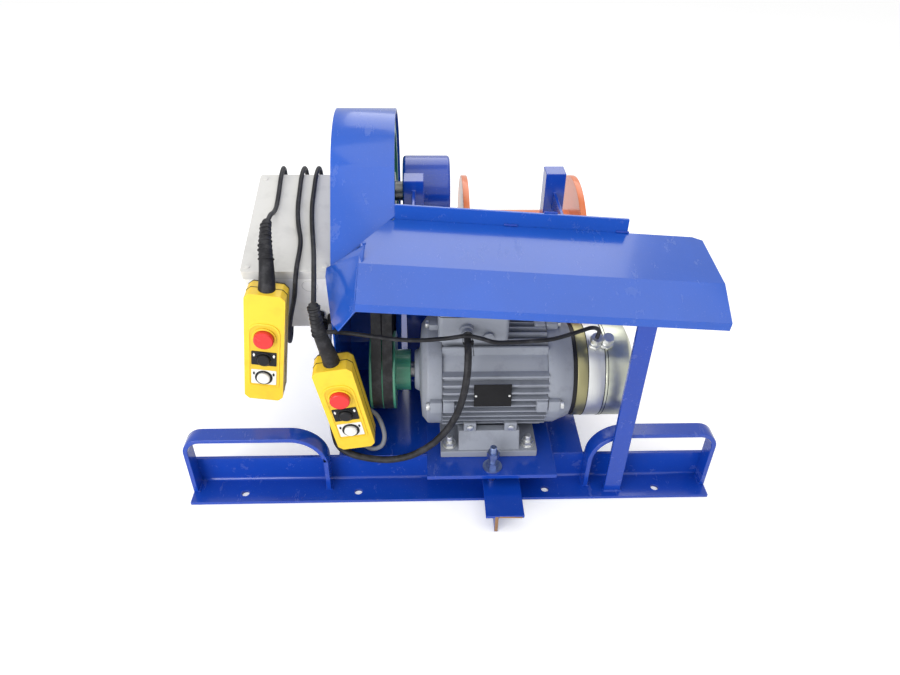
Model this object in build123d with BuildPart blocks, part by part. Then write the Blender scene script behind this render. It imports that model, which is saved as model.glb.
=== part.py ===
from build123d import *
import os
from math import acos, atan2, cos, degrees, pi, radians, sin, tan

os.makedirs("parts", exist_ok=True)

# An electric rope winch on a low welded base. Millimetres, +Z up, floor at z = 0.
# X runs along the front rail, towards the brake; Y runs from the front rail to the rear rail.
# The origin is the centre of the anchor holes, on the floor.

# Base frame of steel angle
rail_length = 932
rail_leg = 60
rail_wall = 6
root_radius = 5
base_depth = 760
anchor_radius = 7
anchor_edge = 20
anchor_outer = 373
anchor_inner = 170
deck_left = -204
deck_right = 240
deck_thickness = 3
member_leg = 50
member_wall = 5
beam_web_x = 70
beam_wall = 6
beam_left = 54
beam_right = 120
beam_top = 41
beam_nose = 70
notch_gap = 0.3

# Lifting handles of flat bar
handle_left_inner = -219
handle_right_inner = 241
handle_top = 135
handle_bar = 8
handle_width = 30
handle_outer_bend = 28
handle_inner_bend = 60

# Motor plate, hinged at its rear edge and set by one stud at its front
plate_left = -45
plate_right = 182
plate_thickness = 8
plate_overhang = 6
plate_depth = 272
hinge_set_back = 278
knuckle_radius = 10
knuckle_length = 50
knuckle_xs = (0, 140)
hinge_pin_radius = 6
pin_clearance = 0.05
lug_thickness = 12
lug_gap = 1
stud_x = 70
stud_radius = 6
stud_set_back = 15
stud_top = 120
washer_radius = 17
washer_thickness = 3
nut_flats = 19
nut_height = 10
lock_nut_z = 97

# Foot-mounted motor with a spring-applied brake
shaft_height = 112
motor_x = 65.5
motor_set_back = 152
foot_bolt_span_y = 190
foot_bolt_span_x = 140
foot_lug_thickness = 14
foot_length = 172
foot_width = 226
foot_block_length = 108
foot_bolt_radius = 6
housing_left = -18
housing_right = 163
housing_radius = 91
fin_radius = 103
fin_thickness = 3
fin_pitch = 13
fin_count = 9
stator_bore = 56
air_gap = 0.5
shaft_radius = 14
journal_radius = 15
bearing_radius = 36
bearing_width = 19
fit_gap = 0.05
seat_gap = 0.3
shield_left = -57
boss_left = -66
boss_radius = 35
rear_shield_end = 208
shaft_end_x = -126
brake_radius = 85.5
brake_start = 215
brake_ring_end = 233.5
brake_coil_end = 263
brake_cover_end = 306
brake_dome = 11

# Belt drive with two V-belts
belt_top = 17
belt_height = 11
belt_pitch = 19
belt_angle = 50
belt_centres = 330
groove_half_angle = 18
groove_depth = 14
pulley_right = -99
pulley_width = 45
motor_pulley_radius = 70.5
driven_pulley_radius = 130
pulley_hub_radius = 37
pulley_hub_end = -73
groove_gap = 0.25

# Reduction gearbox and rope drum
gearbox_left = -85
gearbox_right = 0
gearbox_top_radius = 64
gearbox_low_radius = 108
gearbox_foot_height = 18
input_shaft_radius = 17.5
input_shaft_end = -30
drum_set_back = 450
drum_axis_z = 250
drum_shaft_radius = 25
drum_left = 28
drum_right = 262
drum_radius = 95
drum_wall = 8
flange_radius = 165
flange_thickness = 12
drum_shaft_left = -40
drum_shaft_right = 320
block_left = 275
block_width = 30

# Guards of folded sheet
sheet = 2.5
guard_fall = 4
guard_left = -149
guard_right = 418.6
guard_lip_z = 407
guard_front = 10
guard_lip = 14
guard_fold = (72, 46.5)
guard_rear = (201, 58)
belt_guard_left = -200
belt_guard_right = -95
belt_guard_radius = 146
belt_guard_front = 103
belt_guard_back = 302.5
bar_thickness = 5
strut_x = 292
strut_width = 30
strut_thickness = 8
strut_set_back = 12.5
strut_top = 386
post_size = 35
post_wall = 3
post_top = 500

# Switch cabinet, leaning back
cabinet_left = -350
cabinet_right = -200
cabinet_tilt = 15
cabinet_depth = 140
cabinet_length = 250
cabinet_fold = (155, 389)
cabinet_wall = 2
lid_depth = 18

# Hand pendants
pendant_width = 66
pendant_depth = 40
sleeve_wide = 14
sleeve_tip = 8
stop_radius = 16.5
button_radius = 11
button_travel = 4

# Cables
motor_cable_diameter = 12
brake_cable_diameter = 7
cord_diameter = 8

front = -base_depth / 2
deck_z = rail_leg + deck_thickness
plate_z = deck_z + plate_thickness
shaft_z = plate_z + shaft_height
shaft_y = front + motor_set_back
motor_axis = (shaft_y, shaft_z)
driven_axis = (
    shaft_y + belt_centres * cos(radians(belt_angle)),
    shaft_z + belt_centres * sin(radians(belt_angle)),
)
drum_axis = (front + drum_set_back, drum_axis_z)
belt_xs = [pulley_right - pulley_width / 2 + side * belt_pitch / 2 for side in (-1, 1)]


def save(piece, name):
    piece.part.label = name
    export_step(piece.part, f"parts/{name}.step")


def block(x_range, y_range, z_range, mode=Mode.ADD):
    """A rectangular block between two limits on each axis."""
    (x0, x1), (y0, y1), (z0, z1) = x_range, y_range, z_range
    with BuildSketch(Plane.XY.offset(z0)) as profile:
        with Locations(((x0 + x1) / 2, (y0 + y1) / 2)):
            Rectangle(x1 - x0, y1 - y0)
    extrude(profile.sketch, amount=z1 - z0, mode=mode)


def rod_x(x0, x1, axis, radius, mode=Mode.ADD):
    """A round bar along X about the axis through (y, z)."""
    with BuildSketch(Plane.YZ.offset(x0)) as profile:
        with Locations(axis):
            Circle(radius)
    extrude(profile.sketch, amount=x1 - x0, mode=mode)


def turned(axis, outline, mode=Mode.ADD):
    """A body turned about the X axis through (y, z), from (x, radius) points."""
    centre = (0, axis[0], axis[1])
    with BuildSketch(Plane(origin=centre, x_dir=(1, 0, 0), z_dir=(0, -1, 0))) as profile:
        with BuildLine():
            Polyline(*outline, close=True)
        make_face()
    revolve(profile.sketch, axis=Axis(centre, (1, 0, 0)), mode=mode)


def section_x(x0, x1, outline, mode=Mode.ADD):
    """A straight profile of (y, z) points from x0 to x1."""
    with BuildSketch(Plane.YZ.offset(x0)) as profile:
        with BuildLine():
            Polyline(*outline, close=True)
        make_face()
    extrude(profile.sketch, amount=x1 - x0, mode=mode)


def section_y(y0, y1, outline, mode=Mode.ADD):
    """A straight profile of (x, z) points from y0 to y1."""
    with BuildSketch(Plane.XZ.offset(-y0)) as profile:
        with BuildLine():
            Polyline(*outline, close=True)
        make_face()
    extrude(profile.sketch, amount=-(y1 - y0), mode=mode)


def upright(centre, z0, z1, radius, mode=Mode.ADD):
    """A round bar along Z."""
    with BuildSketch(Plane.XY.offset(z0)) as profile:
        with Locations(centre):
            Circle(radius)
    extrude(profile.sketch, amount=z1 - z0, mode=mode)


def hexagon(centre, z0, z1, flats, mode=Mode.ADD):
    """A hexagonal nut or bolt head along Z."""
    with BuildSketch(Plane.XY.offset(z0)) as profile:
        with Locations(centre):
            RegularPolygon(flats / 2, 6, major_radius=False)
    extrude(profile.sketch, amount=z1 - z0, mode=mode)


def folded(points, thickness):
    """The closed outline of a sheet folded along (u, v) points, with its thickness on the right."""
    inner = []
    for i, (u, v) in enumerate(points):
        before = points[max(i - 1, 0)]
        after = points[min(i + 1, len(points) - 1)]
        angles = []
        if i > 0:
            angles.append(atan2(v - before[1], u - before[0]))
        if i < len(points) - 1:
            angles.append(atan2(after[1] - v, after[0] - u))
        mean = sum(angles) / len(angles)
        reach = thickness / cos((angles[-1] - angles[0]) / 2)
        inner.append((u + reach * sin(mean), v - reach * cos(mean)))
    return list(points) + inner[::-1]


# Rails: an angle at the front and its mirror image at the rear, each with four anchor holes
leg_set_back = rail_leg - rail_wall


def rail(side):
    outer = -side * front
    leg = side * (-front - leg_set_back)
    inner = side * (-front - rail_leg)
    outline = [
        (outer, 0),
        (inner, 0),
        (inner, rail_leg),
        (leg, rail_leg),
        (leg, rail_wall),
        (outer, rail_wall),
    ]
    section_x(-rail_length / 2, rail_length / 2, outline)
    fillet(edges().filter_by(Axis.X).sort_by_distance((0, leg, rail_wall))[0], root_radius)
    for x in (-anchor_outer, -anchor_inner, anchor_inner, anchor_outer):
        upright((x, side * (-front - anchor_edge)), 0, rail_wall, anchor_radius, Mode.SUBTRACT)


with BuildPart() as front_rail:
    rail(-1)
    notch_depth = (front + leg_set_back - root_radius - 1, front + rail_leg)
    web_slot = (beam_web_x - seat_gap, beam_web_x + beam_wall + seat_gap)
    flange_slot = (beam_left - seat_gap, beam_right + seat_gap)
    block(web_slot, notch_depth, (rail_wall, beam_top), Mode.SUBTRACT)
    slot_z = (beam_top - beam_wall - seat_gap, beam_top + seat_gap)
    block(flange_slot, notch_depth, slot_z, Mode.SUBTRACT)
save(front_rail, "front_rail")

with BuildPart() as rear_rail:
    rail(1)
save(rear_rail, "rear_rail")

# The centre beam, a T on its head, passes through the notch and stands out in front of the rail
beam_front = front - beam_nose
with BuildPart() as centre_beam:
    block((beam_web_x, beam_web_x + beam_wall), (beam_front, -front - rail_leg), (0, beam_top))
    block((beam_left, beam_right), (beam_front, -front - rail_leg), (beam_top - beam_wall, beam_top))
    over_rail = (front - seat_gap, front + rail_leg + seat_gap)
    block((beam_web_x, beam_web_x + beam_wall), over_rail, (0, rail_wall + seat_gap), Mode.SUBTRACT)
save(centre_beam, "centre_beam")

for name, edge, inward in (("left", deck_left, 1), ("right", deck_right, -1)):
    with BuildPart() as side_member:
        outline = [
            (edge, rail_leg - member_leg),
            (edge + inward * member_wall, rail_leg - member_leg),
            (edge + inward * member_wall, rail_leg - member_wall),
            (edge + inward * member_leg, rail_leg - member_wall),
            (edge + inward * member_leg, rail_leg),
            (edge, rail_leg),
        ]
        section_y(front + rail_leg, -front - rail_leg, outline)
    save(side_member, f"side_member_{name}")

with BuildPart() as deck_plate:
    block((deck_left, deck_right), (front + leg_set_back, -front - leg_set_back), (rail_leg, deck_z))
save(deck_plate, "deck_plate")

# Lifting handles: a flat bar bent to a U at each end of both rails
with BuildPart() as lifting_handles:
    for side in (-1, 1):
        for end, inner_x in ((-1, handle_left_inner), (1, handle_right_inner)):
            outer_mid = end * (rail_length / 2 - handle_bar / 2)
            inner_mid = inner_x + end * handle_bar / 2
            top_mid = handle_top - handle_bar / 2
            base_y = side * (-front - leg_set_back)
            with BuildSketch(Plane.XZ.offset(-base_y)):
                with BuildLine():
                    FilletPolyline(
                        (outer_mid, rail_wall),
                        (outer_mid, top_mid),
                        (inner_mid, top_mid),
                        (inner_mid, rail_wall),
                        radius=[handle_outer_bend, handle_inner_bend],
                    )
                trace(line_width=handle_bar)
            extrude(amount=-side * handle_width)
        scallop = [
            (base_y, rail_wall),
            (base_y + side * (root_radius + seat_gap), rail_wall),
            (base_y, rail_wall + root_radius + seat_gap),
        ]
        section_x(-rail_length / 2, rail_length / 2, scallop, Mode.SUBTRACT)
save(lifting_handles, "lifting_handles")

# Motor plate with two hinge knuckles on its rear edge
plate_front = front - plate_overhang
plate_rear = plate_front + plate_depth
hinge_axis = (front + hinge_set_back, deck_z + knuckle_radius + 1)
stud = (stud_x, front + stud_set_back)
foot_bolts = [
    (motor_x + i * foot_bolt_span_x / 2, shaft_y + j * foot_bolt_span_y / 2)
    for i in (-1, 1)
    for j in (-1, 1)
]
with BuildPart() as motor_plate:
    block((plate_left, plate_right), (plate_front, plate_rear), (deck_z, plate_z))
    for x in knuckle_xs:
        reach = (x - knuckle_length / 2, x + knuckle_length / 2)
        block(reach, (plate_rear, hinge_axis[0]), (deck_z, plate_z))
        rod_x(*reach, hinge_axis, knuckle_radius)
        rod_x(*reach, hinge_axis, hinge_pin_radius + fit_gap, Mode.SUBTRACT)
    upright(stud, deck_z, plate_z, stud_radius + 1, Mode.SUBTRACT)
    for spot in foot_bolts:
        upright(spot, deck_z, plate_z, foot_bolt_radius + seat_gap, Mode.SUBTRACT)
save(motor_plate, "motor_plate")

lug_offset = knuckle_length / 2 + lug_gap + lug_thickness / 2
lug_xs = [x + side * lug_offset for x in knuckle_xs for side in (-1, 1)]
with BuildPart() as hinge_lugs:
    for x in lug_xs:
        reach = (x - lug_thickness / 2, x + lug_thickness / 2)
        depth = (hinge_axis[0] - knuckle_radius, hinge_axis[0] + knuckle_radius)
        block(reach, depth, (deck_z, hinge_axis[1]))
        rod_x(*reach, hinge_axis, knuckle_radius)
        rod_x(*reach, hinge_axis, hinge_pin_radius + fit_gap, Mode.SUBTRACT)
save(hinge_lugs, "hinge_lugs")

with BuildPart() as hinge_pin:
    rod_x(min(lug_xs) - 10, max(lug_xs) + 10, hinge_axis, hinge_pin_radius)
save(hinge_pin, "hinge_pin")

# A stud on the centre beam holds the plate's front edge and sets the belts' tension
with BuildPart() as tension_bolt:
    upright(stud, beam_top, stud_top, stud_radius)
    chamfer(edges().group_by(Axis.Z)[-1], 1)
    upright(stud, plate_z, plate_z + washer_thickness, washer_radius)
    hexagon(stud, plate_z + washer_thickness, plate_z + washer_thickness + nut_height, nut_flats)
    hexagon(stud, lock_nut_z, lock_nut_z + nut_height, nut_flats)
save(tension_bolt, "tension_bolt")

# Motor housing: level fins on its sides, upright fins above and below, bored for the rotor
bare_radius = fin_radius + seat_gap
with BuildPart() as stator_housing:
    with BuildSketch(Plane.YZ.offset(housing_left)):
        with Locations(motor_axis):
            with GridLocations(0, fin_pitch, 1, fin_count):
                Rectangle(2 * fin_radius, fin_thickness)
            with GridLocations(fin_pitch, 0, fin_count, 1):
                Rectangle(fin_thickness, 2 * fin_radius)
            Circle(fin_radius, mode=Mode.INTERSECT)
            Circle(housing_radius)
            Circle(stator_bore, mode=Mode.SUBTRACT)
    extrude(amount=housing_right - housing_left)
save(stator_housing, "stator_housing")

# Motor feet: two bolted lugs on each side of a block that carries the housing
lug_top = plate_z + foot_lug_thickness
with BuildPart() as motor_feet:
    foot_left = motor_x - foot_length / 2
    foot_front = shaft_y - foot_width / 2
    foot_rear = shaft_y + foot_width / 2
    block((foot_left, foot_left + foot_length), (foot_front, foot_rear), (plate_z, lug_top))
    block_left_x = motor_x - foot_block_length / 2
    riser = [
        (foot_front + 4, lug_top - 1),
        (foot_front + 18, lug_top + 34),
        (foot_rear - 18, lug_top + 34),
        (foot_rear - 4, lug_top - 1),
    ]
    section_x(block_left_x, block_left_x + foot_block_length, riser)
    rod_x(foot_left, foot_left + foot_length, motor_axis, bare_radius, Mode.SUBTRACT)
    for spot in foot_bolts:
        upright(spot, plate_z, lug_top, foot_bolt_radius + seat_gap, Mode.SUBTRACT)
save(motor_feet, "motor_feet")

with BuildPart() as motor_fasteners:
    for spot in foot_bolts:
        upright(spot, deck_z + 1, lug_top + 1, foot_bolt_radius)
        upright(spot, lug_top, lug_top + 2.5, foot_bolt_radius * 2)
        hexagon(spot, lug_top + 2.5, lug_top + 10, nut_flats)
save(motor_fasteners, "motor_fasteners")

# End shields, each with a seat for a bearing
front_bearing_x = -59
rear_bearing_x = 186
seat_radius = bearing_radius + fit_gap
passage = journal_radius + 1
with BuildPart() as drive_end_shield:
    outline = [
        (boss_left, passage),
        (boss_left, boss_radius),
        (shield_left, boss_radius + 4),
        (shield_left + 4, 84),
        (shield_left + 14, 97),
        (housing_left, 97),
        (housing_left, 86),
        (housing_left - 26, 78),
        (housing_left - 26, 46),
        (front_bearing_x + bearing_width, 44),
        (front_bearing_x + bearing_width, seat_radius),
        (front_bearing_x, seat_radius),
        (front_bearing_x, passage),
    ]
    turned(motor_axis, outline)
save(drive_end_shield, "drive_end_shield")

with BuildPart() as rear_end_shield:
    outline = [
        (rear_shield_end, passage),
        (rear_shield_end, 86),
        (rear_shield_end - 26, 97),
        (housing_right, 97),
        (housing_right, 86),
        (rear_shield_end - 22, 76),
        (rear_shield_end - 22, seat_radius),
        (rear_bearing_x + bearing_width, seat_radius),
        (rear_bearing_x + bearing_width, passage),
    ]
    turned(motor_axis, outline)
save(rear_end_shield, "rear_end_shield")

with BuildPart() as motor_bearings:
    for x in (front_bearing_x, rear_bearing_x):
        ring = [
            (x, journal_radius + fit_gap),
            (x, bearing_radius),
            (x + bearing_width, bearing_radius),
            (x + bearing_width, journal_radius + fit_gap),
        ]
        turned(motor_axis, ring)
save(motor_bearings, "motor_bearings")

with BuildPart() as rotor_shaft:
    collar = journal_radius + 4
    front_shoulder = front_bearing_x + bearing_width + 0.1
    rear_shoulder = rear_bearing_x - 0.1
    outline = [
        (shaft_end_x, 0),
        (shaft_end_x, shaft_radius),
        (boss_left, shaft_radius),
        (boss_left, journal_radius),
        (front_shoulder, journal_radius),
        (front_shoulder, collar),
        (10, collar),
        (10, stator_bore - air_gap),
        (140, stator_bore - air_gap),
        (140, collar),
        (rear_shoulder, collar),
        (rear_shoulder, journal_radius),
        (rear_bearing_x + bearing_width, journal_radius),
        (rear_bearing_x + bearing_width, shaft_radius),
        (brake_start + 27, shaft_radius),
        (brake_start + 27, 0),
    ]
    turned(motor_axis, outline)
save(rotor_shaft, "rotor_shaft")

# Terminal box on top of the motor, with its cable gland and a blanking plug
box_front = front + 95
with BuildPart() as terminal_box:
    block((-25, 93), (box_front, front + 205), (shaft_z + bare_radius, shaft_z + bare_radius + 59))
    fillet(edges().filter_by(Axis.Z), 8)
    fillet(faces().sort_by(Axis.Z)[-1].edges(), 3)
save(terminal_box, "terminal_box")

gland_at = (22, 313)
with BuildPart() as motor_glands:
    for spot, radius, length in ((gland_at, 12, 8), (gland_at, 9, 17), ((59, 299), 9, 6)):
        with BuildSketch(Plane.XZ.offset(-box_front)):
            with Locations(spot):
                Circle(radius)
        extrude(amount=length)
save(motor_glands, "motor_glands")

# Brake: ring, friction disc, magnet and a domed cover
with BuildPart() as brake_seal:
    rod_x(rear_shield_end, brake_start, motor_axis, brake_radius - 2)
    rod_x(rear_shield_end, brake_start, motor_axis, 73, Mode.SUBTRACT)
save(brake_seal, "brake_seal")

with BuildPart() as brake_ring:
    rod_x(brake_start, brake_ring_end, motor_axis, brake_radius)
    rod_x(brake_start, brake_ring_end, motor_axis, 73, Mode.SUBTRACT)
save(brake_ring, "brake_ring")

with BuildPart() as brake_disc:
    rod_x(brake_start + 4, brake_start + 14, motor_axis, 70)
    rod_x(brake_start + 4, brake_start + 14, motor_axis, shaft_radius + fit_gap, Mode.SUBTRACT)
save(brake_disc, "brake_disc")

with BuildPart() as brake_coil:
    rod_x(brake_ring_end, brake_coil_end, motor_axis, brake_radius)
    rod_x(brake_ring_end, brake_coil_end, motor_axis, passage, Mode.SUBTRACT)
save(brake_coil, "brake_coil")

with BuildPart() as brake_cover:
    wall = 3
    outline = [
        (brake_coil_end, brake_radius),
        (brake_cover_end, brake_radius),
        (brake_cover_end + brake_dome - 2, brake_radius - 16),
        (brake_cover_end + brake_dome, brake_radius - 26),
        (brake_cover_end + brake_dome, 0),
        (brake_cover_end + brake_dome - wall, 0),
        (brake_cover_end + brake_dome - wall, brake_radius - 27),
        (brake_cover_end - wall, brake_radius - wall),
        (brake_coil_end, brake_radius - wall),
    ]
    turned(motor_axis, outline)
save(brake_cover, "brake_cover")

gland_lean = radians(23)
brake_gland_xs = (246, 266)
brake_gland_length = 110
with BuildPart() as brake_glands:
    for x in brake_gland_xs:
        centre = (x, shaft_y, shaft_z)
        gland_axis = (0, -sin(gland_lean), cos(gland_lean))
        with BuildSketch(Plane(origin=centre, x_dir=(1, 0, 0), z_dir=gland_axis)):
            Circle(9)
        extrude(amount=brake_gland_length)
    rod_x(200, 320, motor_axis, brake_radius + fit_gap, Mode.SUBTRACT)
save(brake_glands, "brake_glands")

# Pulleys, each with two V-grooves
pulley_left = pulley_right - pulley_width


def grooves(radius):
    """The rim's outline from left to right, across both grooves."""
    top = belt_top / 2 + groove_gap
    root = top - groove_depth * tan(radians(groove_half_angle))
    points = [(pulley_left, radius)]
    for x in belt_xs:
        points += [
            (x - top, radius),
            (x - root, radius - groove_depth),
            (x + root, radius - groove_depth),
            (x + top, radius),
        ]
    return points + [(pulley_right, radius)]


with BuildPart() as motor_pulley:
    bore = shaft_radius + fit_gap
    outline = [(pulley_left, bore)] + grooves(motor_pulley_radius)
    outline += [
        (pulley_right, pulley_hub_radius),
        (pulley_hub_end, pulley_hub_radius),
        (pulley_hub_end, bore),
    ]
    turned(motor_axis, outline)
save(motor_pulley, "motor_pulley")

web_left = pulley_left + 16
web_right = pulley_right - 16
rim_inner = driven_pulley_radius - groove_depth - 8
with BuildPart() as driven_pulley:
    bore = input_shaft_radius + fit_gap
    outline = [
        (pulley_left, bore),
        (pulley_left, 34),
        (web_left, 38),
        (web_left, rim_inner - 2),
        (pulley_left, rim_inner),
    ]
    outline += grooves(driven_pulley_radius)
    outline += [
        (pulley_right, rim_inner),
        (web_right, rim_inner - 2),
        (web_right, 38),
        (pulley_right, 34),
        (pulley_right, bore),
    ]
    turned(driven_axis, outline)
save(driven_pulley, "driven_pulley")

# Two V-belts, swept round both pulleys
pitch_drop = 3.5
motor_pitch = motor_pulley_radius - pitch_drop
driven_pitch = driven_pulley_radius - pitch_drop
wrap = degrees(acos((motor_pitch - driven_pitch) / belt_centres))
slack_side = belt_angle + wrap
tight_side = belt_angle - wrap


def on_circle(axis, radius, angle):
    return (axis[0] + radius * cos(radians(angle)), axis[1] + radius * sin(radians(angle)))


with BuildPart() as v_belts:
    for x in belt_xs:
        with BuildLine(Plane.YZ.offset(x)) as loop:
            CenterArc(motor_axis, motor_pitch, slack_side, 360 - 2 * wrap)
            Line(
                on_circle(motor_axis, motor_pitch, tight_side),
                on_circle(driven_axis, driven_pitch, tight_side),
            )
            CenterArc(driven_axis, driven_pitch, tight_side, 2 * wrap)
            Line(
                on_circle(driven_axis, driven_pitch, slack_side),
                on_circle(motor_axis, motor_pitch, slack_side),
            )
        start_y, start_z = on_circle(motor_axis, motor_pitch, slack_side)
        heading = (0, -sin(radians(slack_side)), cos(radians(slack_side)))
        with BuildSketch(Plane(origin=(x, start_y, start_z), x_dir=(1, 0, 0), z_dir=heading)):
            low = belt_height - pitch_drop
            narrow = belt_top / 2 - belt_height * tan(radians(groove_half_angle))
            with BuildLine():
                Polyline(
                    (-belt_top / 2, pitch_drop),
                    (belt_top / 2, pitch_drop),
                    (narrow, -low),
                    (-narrow, -low),
                    close=True,
                )
            make_face()
        sweep(path=loop.wire())
save(v_belts, "v_belts")

# Gearbox housing between the driven pulley and the drum
foot_top = deck_z + gearbox_foot_height
with BuildPart() as gearbox_housing:
    with BuildSketch(Plane.YZ.offset(gearbox_left)):
        with Locations(driven_axis):
            Circle(gearbox_top_radius)
        with Locations(drum_axis):
            Circle(gearbox_low_radius)
        make_hull()
    extrude(amount=gearbox_right - gearbox_left)
    fillet(edges().filter_by(Axis.X, reverse=True).filter_by(Plane.YZ), 6)
    legs = (front + drum_set_back - 80, front + drum_set_back + 80)
    block((gearbox_left + 8, gearbox_right - 8), legs, (foot_top - 1, drum_axis_z - 60))
    feet = (front + drum_set_back - 105, front + drum_set_back + 105)
    block((gearbox_left, gearbox_right), feet, (deck_z, foot_top))
    bore = input_shaft_radius + fit_gap
    rod_x(gearbox_left, input_shaft_end + 1, driven_axis, bore, Mode.SUBTRACT)
    bore = drum_shaft_radius + fit_gap
    rod_x(drum_shaft_left - 1, gearbox_right, drum_axis, bore, Mode.SUBTRACT)
save(gearbox_housing, "gearbox_housing")

with BuildPart() as input_shaft:
    rod_x(pulley_left - 6, input_shaft_end, driven_axis, input_shaft_radius)
save(input_shaft, "input_shaft")

# Rope drum, a plain barrel between two flanges
with BuildPart() as drum:
    bore = drum_shaft_radius + fit_gap
    outline = [
        (drum_left, bore),
        (drum_left, flange_radius),
        (drum_left + flange_thickness, flange_radius),
        (drum_left + flange_thickness, drum_radius),
        (drum_right - flange_thickness, drum_radius),
        (drum_right - flange_thickness, flange_radius),
        (drum_right, flange_radius),
        (drum_right, bore),
    ]
    turned(drum_axis, outline)
    hollow = [
        (drum_left + flange_thickness, bore + 15),
        (drum_left + flange_thickness, drum_radius - drum_wall),
        (drum_right - flange_thickness, drum_radius - drum_wall),
        (drum_right - flange_thickness, bore + 15),
    ]
    turned(drum_axis, hollow, Mode.SUBTRACT)
save(drum, "drum")

with BuildPart() as drum_shaft:
    rod_x(drum_shaft_left, drum_shaft_right, drum_axis, drum_shaft_radius)
    chamfer(edges().filter_by(GeomType.CIRCLE), 1.5)
save(drum_shaft, "drum_shaft")

# Outer bearing on a pedestal beside the deck
pedestal_top = drum_axis_z - 50
with BuildPart() as bearing_block:
    block_y = drum_axis[0]
    block_run = (block_left, block_left + block_width)
    base_top = pedestal_top + 18
    block(block_run, (block_y - 60, block_y + 60), (pedestal_top, base_top))
    rod_x(*block_run, drum_axis, 45)
    block(block_run, (block_y - 40, block_y + 40), (pedestal_top, drum_axis_z - 20))
    rod_x(*block_run, drum_axis, drum_shaft_radius + fit_gap, Mode.SUBTRACT)
    for side in (-1, 1):
        hexagon((sum(block_run) / 2, block_y + side * 49), base_top, base_top + 8, 16)
save(bearing_block, "bearing_block")

with BuildPart() as bearing_pedestal:
    pedestal_mid = block_left + block_width / 2
    arm = (deck_right, pedestal_mid + 40)
    column = (rail_leg, pedestal_top - 8)
    outer = (pedestal_mid - 22, pedestal_mid + 22)
    inner = (pedestal_mid - 17, pedestal_mid + 17)
    block(arm, (block_y - 40, block_y + 40), (rail_leg - member_leg, rail_leg))
    block(arm, (block_y - 35, block_y + 35), (15, rail_leg - 5), Mode.SUBTRACT)
    block(outer, (block_y - 38, block_y + 38), column)
    block(inner, (block_y - 33, block_y + 33), column, Mode.SUBTRACT)
    block(outer, (block_y - 62, block_y + 62), (pedestal_top - 8, pedestal_top))
save(bearing_pedestal, "bearing_pedestal")

# Belt guard: a flat plate on the left with a rim round the belts, open at the front
inner_face = belt_guard_left + sheet
guard_mouth = (147, 400.7)


def belt_guard_face(x, inset):
    """The plate's face at x, drawn in by an inset."""
    with BuildSketch() as face:
        with BuildLine():
            Polyline(
                on_circle(driven_axis, belt_guard_radius, belt_angle - 90),
                (front + belt_guard_back, 135.3),
                (front + belt_guard_back, deck_z),
                (front + belt_guard_front, deck_z),
                (front + belt_guard_front, 382),
                (front + guard_mouth[0], guard_mouth[1]),
                on_circle(driven_axis, belt_guard_radius, belt_angle + 90),
            )
            CenterArc(driven_axis, belt_guard_radius, belt_angle - 90, 180)
        make_face()
        if inset:
            offset(amount=-inset)
    return Plane.YZ.offset(x) * face.sketch


with BuildPart() as belt_guard:
    extrude(belt_guard_face(belt_guard_left, 0), amount=belt_guard_right - belt_guard_left)
    rim_depth = belt_guard_right - inner_face
    extrude(belt_guard_face(inner_face, sheet), amount=rim_depth, mode=Mode.SUBTRACT)
    with BuildSketch(Plane.XY.offset(deck_z - 5)):
        with BuildLine():
            Polyline(
                (inner_face, front + 90),
                (inner_face, front + 148),
                (belt_guard_right, front + guard_rear[0]),
                (belt_guard_right + 5, front + guard_rear[0]),
                (belt_guard_right + 5, front + 90),
                close=True,
            )
        make_face()
    extrude(amount=430, mode=Mode.SUBTRACT)
    floor_strip = (front + 90, front + belt_guard_back - sheet)
    block((inner_face, belt_guard_right), floor_strip, (deck_z, deck_z + sheet), Mode.SUBTRACT)
save(belt_guard, "belt_guard")

# Motor guard: a folded sheet that falls a little towards the brake, with a folded hip on its left
fall = radians(guard_fall)
slope_x = (cos(fall), 0, -sin(fall))
guard_run = (guard_right - guard_left) / cos(fall)
guard_section = [
    (guard_front, 0),
    (guard_front, guard_lip),
    guard_fold,
    guard_rear,
]
hip = [
    (-151, 10, 407),
    (-149, 10, 420),
    (-145, 72, 456),
    (-142, 98, 473),
    (-211, 145, 404),
    (-212, 132, 396),
    (-194, 36, 371),
    (-182, 10, 375),
]
hip_normal = (-0.771, -0.286, 0.568)
belt_notch_front = 119
belt_notch_rear = 196
with BuildPart() as motor_guard:
    left_end = Plane(origin=(guard_left, front, guard_lip_z), x_dir=(0, 1, 0), z_dir=slope_x)
    with BuildSketch(left_end):
        with BuildLine():
            Polyline(*folded(guard_section, sheet), close=True)
        make_face()
    extrude(amount=guard_run)
    with BuildSketch(Plane.XY.offset(400)):
        with BuildLine():
            Polyline(
                (guard_left - 10, front + belt_notch_front - 17),
                (pulley_right - 5, front + belt_notch_rear),
                (pulley_right + 2, front + belt_notch_rear),
                (pulley_right + 2, front + 220),
                (guard_left - 10, front + 220),
                close=True,
            )
        make_face()
    extrude(amount=120, mode=Mode.SUBTRACT)
    with BuildSketch(Plane.XY.offset(380)):
        with BuildLine():
            Polyline(
                (guard_right - 14, front + guard_rear[0] + 1),
                (guard_right + 5, front + guard_rear[0] + 1),
                (guard_right + 5, front + guard_rear[0] - 9),
                close=True,
            )
        make_face()
    extrude(amount=80, mode=Mode.SUBTRACT)
    hip_corner = (hip[0][0], front + hip[0][1], hip[0][2])
    hip_plane = Plane(origin=hip_corner, x_dir=(0.348, -0.9375, 0), z_dir=hip_normal)
    with BuildSketch(hip_plane):
        with BuildLine():
            flat = [hip_plane.to_local_coords(Vector(x, front + y, z)) for x, y, z in hip]
            Polyline(*[(spot.X, spot.Y) for spot in flat], close=True)
        make_face()
    extrude(amount=-sheet)
save(motor_guard, "motor_guard")

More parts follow.
